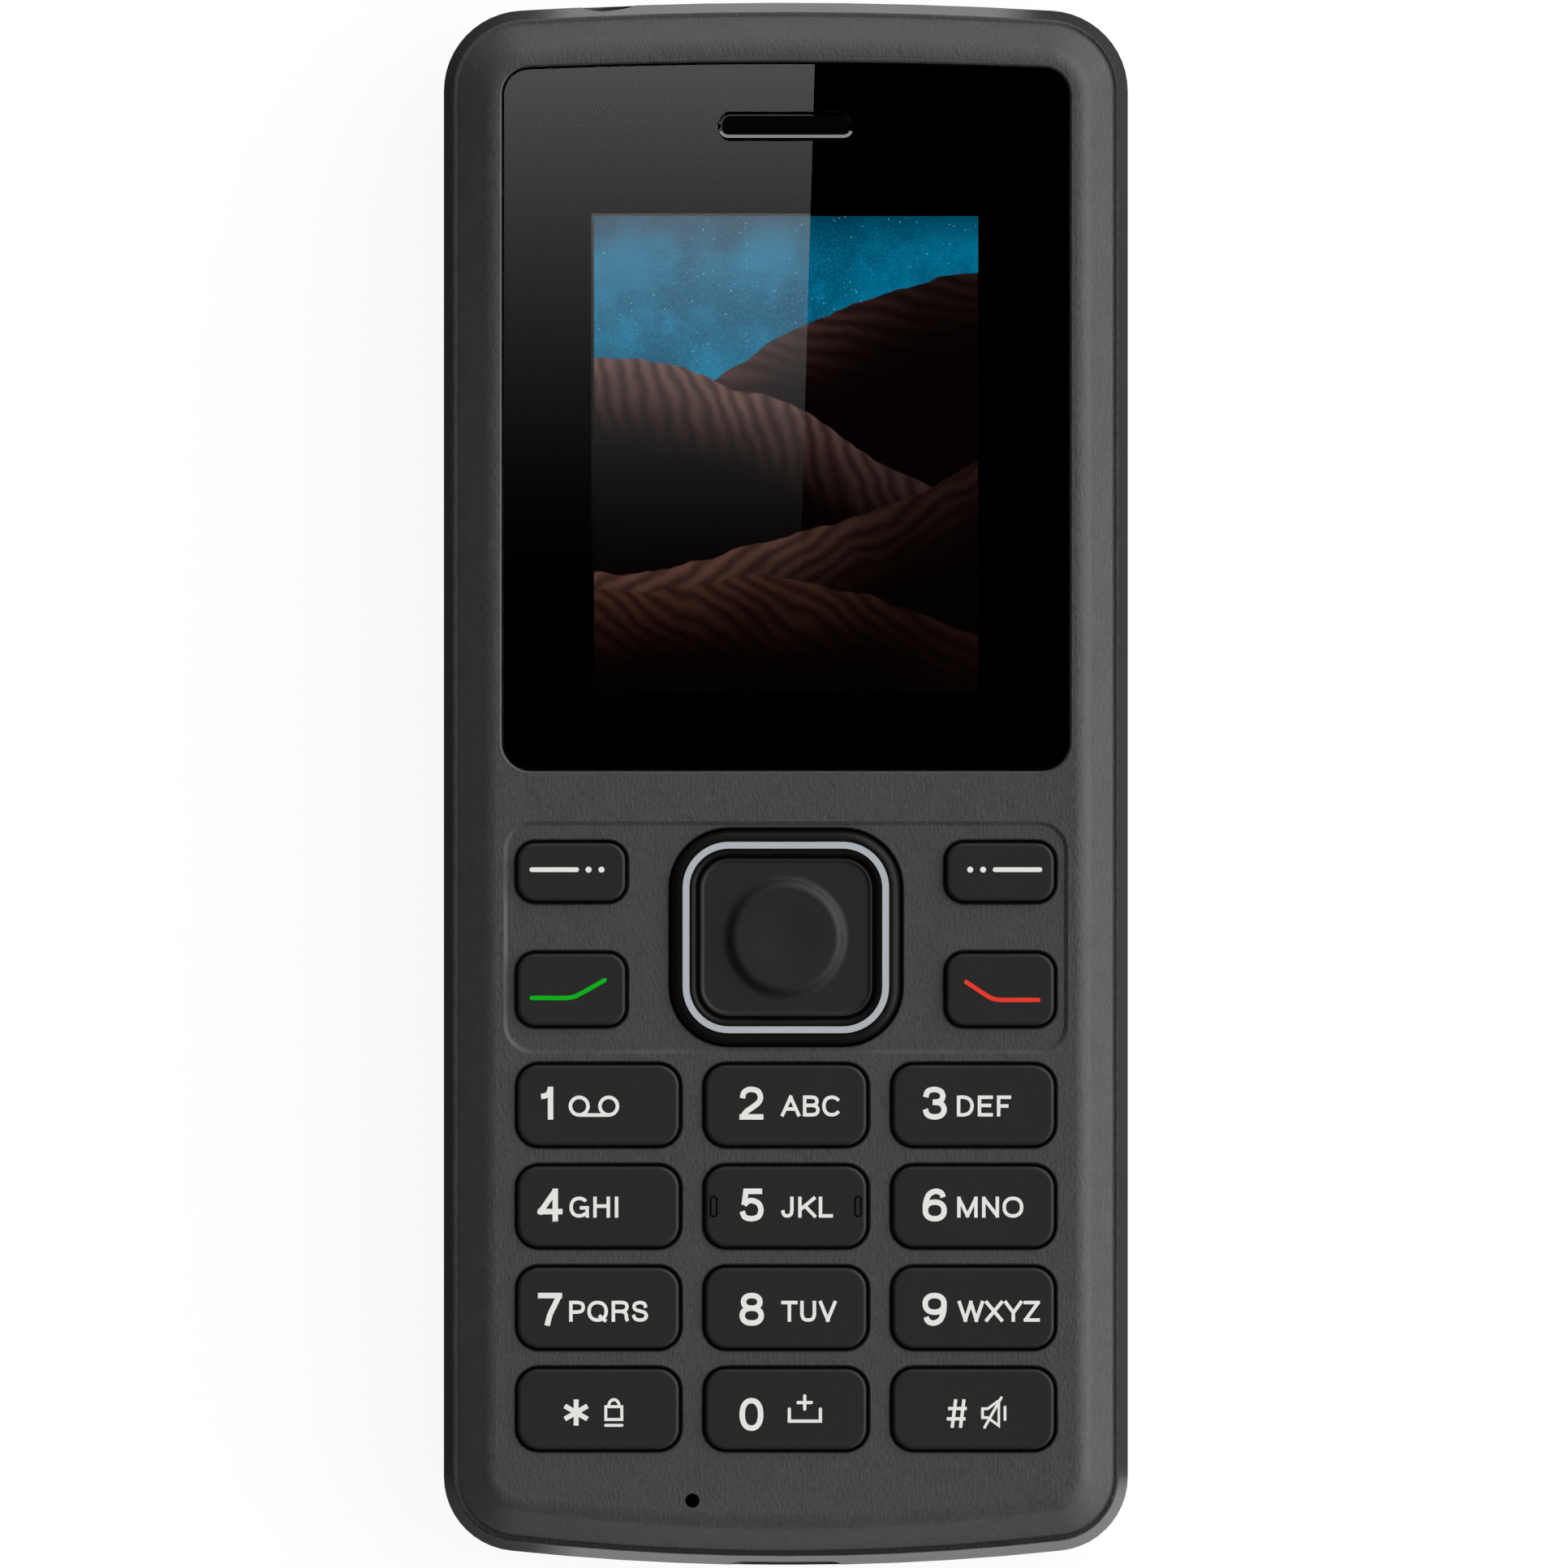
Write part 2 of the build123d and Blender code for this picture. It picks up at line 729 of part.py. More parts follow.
def make_front_housing():
    """Front shell with its bevel, key openings, window pocket, skirt and screw bosses."""
    shell = plate(front_inset, z_front_low, z_bevel)
    shell = fillet(top_edges(shell), lip_round)
    edge = outline(front_inset + lip_ledge, z_bevel)
    crest = outline(front_inset + bevel_inset, z_front)
    slope = loft([edge, crest], ruled=True)
    shell += fillet(top_edges(slope), bevel_round)
    shell -= plate(front_cavity_inset, z_front_low - overrun, z_front_inner)
    skirt = plate(skirt_inset, z_parting - rebate_depth + seat_gap, z_front_low)
    skirt -= plate(skirt_inset + skirt_wall, z_parting - rebate_depth, z_front_low)
    shell += skirt
    shell += extrude(window_outline(-ledge_margin, z_ledge), amount=z_front_inner - z_ledge)
    for x, y in screw_places():
        boss = rod(x, y, z_board_top + seat_gap, z_front_inner, front_boss_radius)
        shell += boss & plate(rear_cavity_inset + slip_gap, z_board_top, z_front_inner)
    for x, y in screw_places():
        shell -= rod(x, y, z_board, z_screw_tip + slip_gap, screw_shank_radius + thread_gap)
    shell -= extrude(window_outline(0, z_ledge_top), amount=z_front + overrun - z_ledge_top)
    rim = [window_outline(0, z_front - window_chamfer), window_outline(-window_chamfer, z_front)]
    shell -= loft(rim, ruled=True)
    open_width = view_width + 2 * view_open_gap
    open_height = view_height + 2 * view_open_gap
    shell -= block(0, view_y, z_ledge - overrun, z_front, open_width, open_height)
    shell -= slot(0, ear_y, z_ledge - overrun, z_front, ear_port_length, ear_port_height)
    flat = RectangleRounded(panel_width - 2 * panel_slope, panel_height - 2 * panel_slope,
                            panel_radius - panel_slope)
    brim = RectangleRounded(panel_width, panel_height, panel_radius)
    shell -= loft([Pos(0, panel_y, z_panel) * flat, Pos(0, panel_y, z_front) * brim], ruled=True)
    for _, x, y in number_key_places():
        shell -= opening(
            x, y, number_key_hole_width, number_key_hole_height, number_key_radius, z_front, hole_edge
        )
    for _, x, y, height in function_key_places():
        shell -= opening(
            x, y, function_key_hole_width, height, function_key_radius, z_panel, hole_edge
        )
    shell -= opening(0, nav_y, nav_hole_width, nav_hole_height, nav_hole_radius, z_panel, hole_edge)
    shell -= rod(mic_x, mic_y, z_front_inner - overrun, z_front + overrun, mic_hole_radius)
    return shell


def make_display_lens():
    """Clear window with a rounded rim and the earpiece slot."""
    lens = extrude(window_outline(lens_gap, z_lens), amount=lens_thickness)
    lens = chamfer(top_edges(lens), lens_edge_round)
    return lens - opening(
        0, ear_y, ear_slot_length, ear_slot_height, ear_slot_radius, z_lens_top, ear_slot_chamfer
    )


def make_lens_mask():
    """Printed black mask under the lens with the view and the sound port left open."""
    mask = extrude(window_outline(lens_gap, z_ledge_top), amount=mask_thickness)
    mask -= block(0, view_y, z_ledge, z_lens, view_width, view_height)
    return mask - slot(0, ear_y, z_ledge, z_lens, ear_port_length, ear_port_height)


def make_earpiece_mesh():
    """Thin mesh plate in the foot of the earpiece slot."""
    width = ear_slot_length - 2 * lens_gap
    height = ear_slot_height - 2 * lens_gap
    return block(0, ear_y, z_lens, z_lens + ear_mesh_thickness, width, height, ear_slot_radius - lens_gap)


def make_key(width, height, radius):
    """Key cap at the origin of the plan, with its flange and the stem that presses the switch."""
    cap = block(0, 0, z_flange, z_key_top, width, height, radius)
    cap = fillet(top_edges(cap), key_edge_radius)
    grow = 2 * key_flange
    cap += block(0, 0, z_flange, z_flange_top, width + grow, height + grow, radius + key_flange)
    return cap + rod(0, 0, z_stem_end, z_flange, stem_radius)


def make_tactile_ridges(low, high, margin):
    """Two upright bars beside the middle key's legend, wider all round by margin."""
    bars = Part()
    for side in (-1, 1):
        face = Rot(0, 0, 90) * SlotOverall(tactile_ridge_length + 2 * margin, tactile_ridge_width + 2 * margin)
        bars += extrude(Pos(side * tactile_ridge_x, 0, low) * face, amount=high - low)
    return bars


def nav_block(low, high, inset):
    """Upright block with the navigation key's outline taken in by inset."""
    width = nav_hole_width - 2 * (nav_gap + inset)
    height = nav_hole_height - 2 * (nav_gap + inset)
    return block(0, nav_y, low, high, width, height, nav_hole_radius - nav_gap - inset)


def make_nav_ring():
    """Rocking ring with a groove for its trim, a flange and four switch stems."""
    ring = nav_block(z_nav_ring, z_nav_top, 0)
    ring = fillet(top_edges(ring), nav_outer_round)
    ring -= nav_block(z_nav_ring - overrun, z_nav_top + overrun, nav_bar_width)
    inner_edges = [e for e in top_edges(ring) if e.center().Z > z_nav_top - seat_gap]
    inner_edges = [e for e in inner_edges if nav_inner_edge(e)]
    ring = fillet(inner_edges, nav_inner_round)
    flange = nav_block(z_nav_ring, z_nav_flange_top, -nav_flange)
    ring += flange - nav_block(z_nav_ring, z_nav_flange_top, nav_bar_width - nav_rebate)
    ring -= nav_block(z_nav_ring - overrun, z_nav_step, nav_bar_width - nav_rebate)
    groove = nav_block(z_nav_top - trim_sink, z_nav_top + overrun, trim_inset)
    groove -= nav_block(z_nav_top - trim_sink, z_nav_top + overrun, trim_inset + trim_width)
    ring -= groove
    for x, y in nav_stem_places():
        ring += rod(x, y, z_stem_end, z_nav_flange_top, nav_stem_radius)
    return ring


def nav_inner_edge(edge):
    """Whether an edge belongs to the inner opening of the navigation ring."""
    middle = edge @ (1 / 2)
    inner_x = nav_hole_width / 2 - nav_gap - nav_bar_width + seat_gap
    inner_y = nav_hole_height / 2 - nav_gap - nav_bar_width + seat_gap
    return abs(middle.X) < inner_x and abs(middle.Y - nav_y) < inner_y


def make_nav_trim():
    """Bright frame let into the navigation ring."""
    low = z_nav_top - trim_sink
    high = z_nav_top + trim_proud
    return nav_block(low, high, trim_inset) - nav_block(low, high, trim_inset + trim_width)


def make_nav_pivot_ring():
    """Frame under the navigation ring with ridges on both faces, one pair for each way of rocking."""
    frame = nav_block(z_pivot_ring, z_pivot_ring_top, pivot_ring_inset)
    frame -= nav_block(z_pivot_ring, z_pivot_ring_top, pivot_ring_inset + pivot_ring_bar)
    reach_x = nav_hole_width / 2 - nav_gap - pivot_ring_inset - pivot_ring_bar / 2
    reach_y = nav_hole_height / 2 - nav_gap - pivot_ring_inset - pivot_ring_bar / 2
    for side in (-1, 1):
        low_ridge = Pos(side * reach_x, nav_y, z_pivot_ring) * Rot(0, 90, 0)
        frame += low_ridge * Cylinder(pivot_ridge_radius, pivot_ring_bar) & block(
            side * reach_x, nav_y, z_pivot_ring - pivot_ridge_radius, z_pivot_ring_top,
            pivot_ring_bar, 2 * pivot_ridge_radius
        )
        high_ridge = Pos(0, nav_y + side * reach_y, z_pivot_ring_top) * Rot(90, 0, 0)
        frame += high_ridge * Cylinder(pivot_ridge_radius, pivot_ring_bar) & block(
            0, nav_y + side * reach_y, z_pivot_ring, z_pivot_ring_top + pivot_ridge_radius,
            2 * pivot_ridge_radius, pivot_ring_bar
        )
    return frame


def make_select_key():
    """Square pad with a raised, dished round centre."""
    pad = nav_block(z_select_flange, z_select_pad, nav_bar_width + select_gap)
    pad = fillet(top_edges(pad), select_edge_radius)
    floor = z_select_pad - select_sink
    basin = nav_block(floor, z_select_pad + overrun, nav_bar_width + select_gap + select_rim)
    pad -= fillet(basin.faces().sort_by(Axis.Z)[0].edges(), select_basin_round)
    pad += nav_block(z_select_flange, z_select_flange_top, nav_bar_width + select_gap - select_flange)
    pad += rod(0, nav_y, z_stem_end, z_select_flange, stem_radius)
    crest = floor + select_dome_height
    foot = z_select_flange_top
    profile = Polyline((0, foot), (select_dome_base, foot), (select_dome_base, floor))
    profile += Spline(
        (select_dome_base, floor), (select_dome_top, crest), tangents=((-1, 0), (-1, 0))
    )
    profile += Line((select_dome_top, crest), (select_dish_radius, crest))
    profile += Spline(
        (select_dish_radius, crest), (0, crest - select_dish_depth), tangents=((-1, 0), (-1, 0))
    )
    profile += Line((0, crest - select_dish_depth), (0, foot))
    dome = revolve(Plane.XZ * make_face(profile), Axis.Z)
    return pad + Pos(0, nav_y, 0) * dome


def make_keymat():
    """Silicone web under the keys: a rim that stands on the dome sheet and a collar at each stem."""
    width = 2 * keymat_half_width
    length = keymat_high_y - keymat_low_y
    y = (keymat_high_y + keymat_low_y) / 2
    mat = block(0, y, z_film_top, z_web_top, width, length, keymat_radius)
    mat -= block(
        0, y, z_film_top - overrun, z_web, width - 2 * keymat_rim, length - 2 * keymat_rim,
        keymat_radius - keymat_rim
    )
    key_places = [(x, y) for _, x, y in number_key_places()]
    key_places += [(x, y) for _, x, y, _ in function_key_places()]
    hole = stem_radius + stem_hole_gap
    for x, y in key_places:
        mat += rod(x, y, z_web, z_collar_top, hole + collar_wall)
    for x, y in key_places + [(0, nav_y)]:
        mat -= rod(x, y, z_film_top, z_collar_top + overrun, hole)
    for x, y in nav_stem_places():
        mat -= rod(x, y, z_film_top, z_web_top + overrun, nav_stem_radius + stem_hole_gap)
    for x, y in screw_places():
        mat -= rod(x, y, z_film_top, z_web_top, front_boss_radius + stem_hole_gap)
    return mat


def make_dome_sheet():
    """Film over the board's front face, raised into a dome above each switch."""
    y = (keymat_high_y + keymat_low_y) / 2
    length = keymat_high_y - keymat_low_y
    sheet = block(0, y, z_board_top, z_film_top, 2 * keymat_half_width, length, keymat_radius)
    for x, y in dome_places():
        sheet += rod(x, y, z_film_top, z_dome_top, dome_radius)
    for x, y in screw_places():
        sheet -= rod(x, y, z_board_top, z_film_top, front_boss_radius + stem_hole_gap)
    return sheet


def make_main_board():
    """Circuit board with screw holes and a cut-out for the headphone jack."""
    board = plate(board_inset, z_board, z_board_top)
    for x, y in screw_places():
        board -= rod(x, y, z_board, z_board_top, screw_shank_radius + board_hole_gap)
    y = half_length - jack_length + overrun
    width = jack_width + 2 * slip_gap
    low_y = jack_low_y - slip_gap
    return board - block(jack_x, (low_y + y + jack_length) / 2, z_board - overrun, z_board_top + overrun,
                         width, y + jack_length - low_y)


def make_can(x, y, low, high, width, length, wall):
    """Thin metal can that is open towards the board."""
    can = block(x, y, low, high, width, length, wall)
    return can - block(x, y, low + wall, high, width - 2 * wall, length - 2 * wall)


def make_card_socket(x, y, width, length):
    """Flat metal cage with a card slot at its foot and a window over the contacts."""
    low = z_board - sim_height
    cage = block(x, y, low, z_board, width, length)
    cage -= block(
        x, y - sim_shell, low + sim_shell, z_board - sim_shell, width - 4 * sim_shell, length
    )
    cage -= block(
        x, y - socket_window_gap, low - overrun, low + sim_shell, width * socket_window_share,
        length * socket_window_share
    )
    return cage


def make_display_frame():
    """Tray that holds the display panel, on four feet above the board."""
    frame = block(0, lcd_y, z_lcd, z_lcd_top, lcd_width, lcd_length)
    inner_width = lcd_width - 2 * lcd_frame_wall
    inner_length = lcd_length - 2 * lcd_frame_wall
    frame -= block(0, lcd_y, z_lcd + lcd_tray_floor, z_lcd_top, inner_width, inner_length)
    frame -= block(
        0, lcd_low_y, z_lcd + lcd_tray_floor, z_lcd_top, flex_width + 2 * slip_gap, 2 * lcd_frame_wall
    )
    for side in (-1, 1):
        for end in (-1, 1):
            x = side * (lcd_width - lcd_foot) / 2
            y = lcd_y + end * (lcd_length - lcd_foot) / 2
            frame += block(x, y, z_board_top, z_lcd, lcd_foot, lcd_foot)
    return frame


def make_display_panel():
    """Glass of the display with its backlight, inside the tray."""
    width = lcd_width - 2 * lcd_frame_wall
    length = lcd_length - 2 * lcd_frame_wall
    return block(0, lcd_y, z_lcd + lcd_tray_floor, z_lcd_top, width, length)


def make_display_gasket():
    """Foam frame between the display and the ledge of the window."""
    width = view_width + 2 * view_open_gap
    height = view_height + 2 * view_open_gap
    foam = block(0, view_y, z_lcd_top, z_ledge, width + 2 * gasket_wall, height + 2 * gasket_wall)
    return foam - block(0, view_y, z_lcd_top, z_ledge, width, height)


def make_display_flex():
    """Strip that leaves the foot of the panel and folds back onto the board."""
    high = z_lcd + lcd_tray_floor + flex_thickness
    front_y = lcd_low_y - slip_gap
    flex = block(0, front_y - flex_thickness / 2, z_board_top, high, flex_width, flex_thickness)
    tail_y = front_y + flex_tail / 2 - flex_thickness
    flex += block(0, tail_y, z_board_top, z_board_top + flex_thickness, flex_width, flex_tail)
    top_length = lcd_frame_wall + slip_gap + flex_thickness
    top_y = lcd_low_y + lcd_frame_wall - top_length / 2
    flex += block(0, top_y, high - flex_thickness, high, flex_width, top_length)
    return flex


def make_earpiece_receiver():
    """Oblong receiver against the ledge, on two contact feet."""
    low = z_ledge - receiver_height
    body = block(0, receiver_y, low, z_ledge, receiver_length, receiver_width, receiver_round)
    body -= slot(0, ear_y, z_ledge - receiver_port_depth, z_ledge, ear_port_length, ear_port_height)
    for side in (-1, 1):
        x = side * (receiver_length / 2 - receiver_width / 2)
        body += block(x, receiver_y, z_board_top, low, contact_spring_width, contact_spring_height)
    return body


def make_microphone():
    """Round microphone with a sound hole in its front."""
    can = rod(mic_x, mic_y, z_board_top, z_board_top + mic_height, mic_radius)
    return can - rod(mic_x, mic_y, z_board_top + mic_height / 2, z_board_top + mic_height, mic_hole_radius)


def make_microphone_boot():
    """Soft boot that joins the microphone to its hole in the front."""
    boot = rod(mic_x, mic_y, z_board_top, z_front_inner, mic_radius + mic_boot_wall)
    boot -= rod(mic_x, mic_y, z_board_top, z_board_top + mic_height, mic_radius)
    return boot - rod(mic_x, mic_y, z_board_top, z_front_inner, mic_hole_radius)


def make_loudspeaker():
    """Round speaker: basket, magnet and two contact springs to the board."""
    low = z_deck_top + speaker_gasket_thickness
    high = z_deck_top + speaker_height
    basket = rod(grille_x, grille_y, low, high, speaker_radius)
    basket = fillet(top_edges(basket), speaker_basket_round)
    throat_radius = speaker_radius - speaker_gasket_width
    basket -= rod(grille_x, grille_y, low, low + speaker_gasket_thickness, throat_radius)
    basket += rod(grille_x, grille_y, high, high + speaker_magnet_height, speaker_radius / 2)
    for side in (-1, 1):
        x = grille_x + side * (throat_radius - speaker_basket_round)
        basket += block(x, grille_y, high, z_board, contact_spring_width, contact_spring_height)
    return basket


def make_loudspeaker_gasket():
    """Foam ring between the speaker and the deck."""
    high = z_deck_top + speaker_gasket_thickness
    ring = rod(grille_x, grille_y, z_deck_top, high, speaker_radius)
    return ring - rod(grille_x, grille_y, z_deck_top, high, speaker_radius - speaker_gasket_width)


def make_vibration_motor():
    """Coin motor that lies on the deck."""
    motor = rod(motor_x, motor_y, z_deck_top, z_deck_top + motor_height, motor_radius)
    return fillet(top_edges(motor), speaker_gasket_thickness)


def make_camera_bezel():
    """Pill-shaped surround for the camera and torch, with a foot behind the deck."""
    x = camera_x + torch_offset / 2
    high = z_deck_top + bezel_foot_thickness
    bezel = slot(x, camera_y, bezel_sink, high, bezel_length, bezel_width)
    bezel = chamfer(bezel.faces().sort_by(Axis.Z)[0].edges(), bezel_sink)
    foot = 2 * bezel_foot
    bezel += slot(x, camera_y, z_deck_top, high, bezel_length + foot, bezel_width + foot)
    seat = z_window + camera_window_thickness
    bezel -= rod(camera_x, camera_y, bezel_sink - overrun, seat, camera_window_radius + seat_gap)
    bezel -= rod(camera_x, camera_y, seat, high, camera_window_radius - camera_window_lip)
    return bezel - rod(camera_x + torch_offset, camera_y, bezel_sink - overrun, high, torch_radius + seat_gap)


def make_camera_module():
    """Camera: lens barrel over a square body that stands in its socket."""
    low = z_deck_top + bezel_foot_thickness + slip_gap
    body_low = low + camera_barrel_height
    high = z_board - slip_gap
    module = block(camera_x, camera_y, body_low, high, camera_body_size, camera_body_size)
    module += rod(camera_x, camera_y, low, body_low, camera_barrel_radius)
    eye = rod(camera_x, camera_y, low, low + camera_eye_depth, camera_eye_radius)
    return module - eye


def make_camera_socket():
    """Frame on the board round the camera body."""
    low = z_board - camera_socket_height
    frame = block(camera_x, camera_y, low, z_board, camera_socket_size, camera_socket_size)
    inner = camera_body_size + 2 * slip_gap
    return frame - block(camera_x, camera_y, low, z_board, inner, inner)


def make_torch_led():
    """Torch LED on a riser from the board."""
    low = z_deck_top + bezel_foot_thickness + slip_gap
    x = camera_x + torch_offset
    led = block(x, camera_y, low, low + torch_led_height, torch_led_size, torch_led_size)
    riser = torch_led_size - torch_led_height
    return led + block(x, camera_y, low + torch_led_height, z_board, riser, riser)


def make_headphone_jack():
    """Headphone jack: block in the board's cut-out, nozzle through the end wall, blind bore."""
    z_low = jack_z - jack_height / 2
    y = (jack_low_y + jack_block_y) / 2
    body = block(jack_x, y, z_low, z_low + jack_height, jack_width, jack_block_y - jack_low_y)
    nozzle = Plane.XZ * Pos(jack_x, jack_z) * Circle(jack_nozzle_radius)
    body += extrude(Pos(0, jack_mouth_y, 0) * nozzle, amount=jack_mouth_y - jack_block_y + seat_gap)
    bore = Plane.XZ * Pos(jack_x, jack_z) * Circle(jack_bore_radius)
    return body - extrude(Pos(0, jack_mouth_y, 0) * bore, amount=jack_bore_length)


def make_usb_socket():
    """Charging socket: metal shell with a tongue, its mouth in the bottom end."""
    mouth_y = -half_length + usb_flush
    shell = extrude(Pos(0, mouth_y + usb_length, 0) * usb_mouth(0, usb_corner), amount=usb_length)
    reach = usb_length - 2 * usb_shell
    shell -= extrude(Pos(0, mouth_y + reach, 0) * usb_mouth(-usb_shell, usb_corner), amount=reach)
    z = z_board - usb_height / 2
    tongue_length = reach - usb_shell
    y = mouth_y + reach - tongue_length / 2 + usb_shell / 2
    low = z - usb_tongue_height / 2
    tongue = block(0, y, low, low + usb_tongue_height, usb_tongue_width, tongue_length + usb_shell)
    return shell + tongue


def make_antenna():
    """Slotted antenna plate on two feet behind the board."""
    low = z_board - antenna_height
    strip = block(antenna_x, antenna_y, low, low + antenna_thickness, antenna_length, antenna_width)
    for side in (-1, 1):
        y = antenna_y + side * antenna_slot_pitch / 2
        x = antenna_x + side * (antenna_length - antenna_slot_length) / 2
        strip -= block(x, y, low, z_board, antenna_slot_length, antenna_slot_width)
    for side in (-1, 1):
        x = antenna_x + side * (antenna_length - antenna_thickness) / 2
        y = antenna_y + side * (antenna_width - antenna_foot) / 2
        strip += block(x, y, low, z_board, antenna_thickness, antenna_foot)
    return strip


def terminal_places():
    """X of each battery terminal."""
    return [terminal_x + i * terminal_pitch for i in (-1, 0, 1)]


def make_battery():
    """Battery pack without its end cap."""
    y = battery_y - battery_cap_length / 2
    length = battery_length - battery_cap_length
    pack = block(0, y, z_battery, z_battery + battery_thickness, battery_width, length)
    edges = pack.edges().filter_by(Axis.Y)
    return fillet(edges, battery_edge_radius)


def make_battery_cap():
    """Plastic end cap of the battery with a recess for each terminal."""
    y = battery_y + (battery_length - battery_cap_length) / 2
    cap = block(0, y, z_battery, z_battery + battery_thickness, battery_width, battery_cap_length)
    cap = fillet(cap.edges().filter_by(Axis.Y), battery_edge_radius)
    end_y = battery_y + battery_length / 2
    low = z_contact - terminal_height / 2
    for x in terminal_places():
        cap -= block(x, end_y, low, low + terminal_height, terminal_width, 2 * terminal_recess)
    return cap


def make_battery_terminals():
    """Three contact plates at the foot of the recesses."""
    y = battery_y + battery_length / 2 - terminal_recess + terminal_thickness / 2
    low = z_contact - terminal_height / 2
    plates = Part()
    for x in terminal_places():
        plates += block(x, y, low, low + terminal_height, terminal_width, terminal_thickness)
    return plates


def make_battery_contacts():
    """Contact block on the board with three sprung blades that face the battery."""
    face_y = battery_y + bay_half_length
    y = face_y + contact_block_depth / 2
    low = z_board - contact_block_height
    housing = block(terminal_x, y, low, z_board, contact_block_width, contact_block_depth)
    spring_low = z_contact - contact_spring_height / 2
    for x in terminal_places():
        housing += block(
            x, face_y, spring_low, spring_low + contact_spring_height, contact_spring_width,
            2 * contact_spring_reach
        )
    return housing


def make_housing_screws():
    """Six screws from behind, heads in their wells."""
    screws = Part()
    for x, y in screw_places():
        low = z_screw_seat - screw_head_height
        screw = rod(x, y, low, z_screw_seat, screw_head_radius)
        drive = extrude(Pos(x, y, low) * RegularPolygon(screw_recess_radius, 6), amount=screw_recess_depth)
        screws += screw - drive + rod(x, y, z_screw_seat, z_screw_tip, screw_shank_radius)
    return screws


def make_pieces():
    """Every piece of the phone under its own name."""
    pieces = {
        "front_housing": make_front_housing(),
        "display_lens": make_display_lens(),
        "lens_mask": make_lens_mask(),
        "earpiece_mesh": make_earpiece_mesh(),
        "rear_housing": make_rear_housing(),
        "battery_cover": make_battery_cover(),
        "battery": make_battery(),
        "battery_cap": make_battery_cap(),
        "battery_terminals": make_battery_terminals(),
        "battery_contacts": make_battery_contacts(),
        "camera_bezel": make_camera_bezel(),
        "camera_window": rod(
            camera_x, camera_y, z_window, z_window + camera_window_thickness, camera_window_radius
        ),
        "torch_lens": rod(
            camera_x + torch_offset, camera_y, z_window, z_deck_top, torch_radius
        ),
        "torch_led": make_torch_led(),
        "camera_module": make_camera_module(),
        "camera_socket": make_camera_socket(),
        "nav_ring": make_nav_ring(),
        "nav_trim": make_nav_trim(),
        "nav_pivot_ring": make_nav_pivot_ring(),
        "select_key": make_select_key(),
        "keymat": make_keymat(),
        "dome_sheet": make_dome_sheet(),
        "main_board": make_main_board(),
        "display_frame": make_display_frame(),
        "display_panel": make_display_panel(),
        "display_gasket": make_display_gasket(),
        "display_flex": make_display_flex(),
        "earpiece_receiver": make_earpiece_receiver(),
        "microphone": make_microphone(),
        "microphone_boot": make_microphone_boot(),
        "loudspeaker": make_loudspeaker(),
        "loudspeaker_gasket": make_loudspeaker_gasket(),
        "vibration_motor": make_vibration_motor(),
        "headphone_jack": make_headphone_jack(),
        "usb_socket": make_usb_socket(),
        "antenna": make_antenna(),
        "housing_screws": make_housing_screws(),
    }
    for name, place in zip(("left_sim_socket", "right_sim_socket", "card_socket"), socket_places()):
        pieces[name] = make_card_socket(*place)
    for name, x, y, width, length in shield_places():
        pieces[name] = make_can(x, y, z_board - shield_height, z_board, width, length, shield_shell)
    number_key = make_key(
        number_key_hole_width - 2 * key_gap, number_key_hole_height - 2 * key_gap,
        number_key_radius - key_gap
    )
    for name, x, y in number_key_places():
        pieces[name] = Pos(x, y, 0) * number_key
    ridge_place = Pos(0, number_top_y - number_pitch_y, 0)
    groove_floor = z_key_top - tactile_groove_depth
    groove = make_tactile_ridges(groove_floor, z_key_top + overrun, tactile_groove_width)
    pieces["key_5"] -= ridge_place * groove
    ridges = make_tactile_ridges(groove_floor - seat_gap, z_key_top + tactile_ridge_height, 0)
    pieces["key_5"] += ridge_place * ridges
    for name, x, y, height in function_key_places():
        cap = make_key(
            function_key_hole_width - 2 * key_gap, height - 2 * key_gap, function_key_radius - key_gap
        )
        pieces[name] = Pos(x, y, 0) * cap
    return pieces


os.makedirs("parts", exist_ok=True)
for name, piece in make_pieces().items():
    export_step(piece, f"parts/{name}.step")
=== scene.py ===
import math
import bmesh
import bpy
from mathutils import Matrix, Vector


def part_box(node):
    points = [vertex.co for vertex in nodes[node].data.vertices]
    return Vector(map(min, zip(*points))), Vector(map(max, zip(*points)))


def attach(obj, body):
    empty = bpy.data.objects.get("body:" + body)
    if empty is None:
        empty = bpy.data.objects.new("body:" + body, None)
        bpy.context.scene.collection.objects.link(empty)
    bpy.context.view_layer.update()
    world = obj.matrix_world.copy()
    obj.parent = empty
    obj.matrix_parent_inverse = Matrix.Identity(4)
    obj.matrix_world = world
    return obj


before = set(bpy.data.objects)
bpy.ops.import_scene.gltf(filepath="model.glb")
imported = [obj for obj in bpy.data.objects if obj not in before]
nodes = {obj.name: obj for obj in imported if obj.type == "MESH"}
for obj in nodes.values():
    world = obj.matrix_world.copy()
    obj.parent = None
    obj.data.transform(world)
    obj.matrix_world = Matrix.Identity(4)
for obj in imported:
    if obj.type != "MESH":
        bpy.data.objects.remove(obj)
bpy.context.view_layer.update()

print("frame loaded,", len(nodes), "nodes")

mm = 0.001


# shader helpers

def socketOf(node, key):
    # n0, n1 and so on by place, any other word by the socket's own name
    if key[0] == "n" and key[1:].isdigit():
        return node.inputs[int(key[1:])]
    return node.inputs[key.replace("_", " ")]


def scaled(colour, factor):
    # the same colour lighter or darker
    return tuple(min(1.0, factor * c) for c in colour[:3]) + (1,)


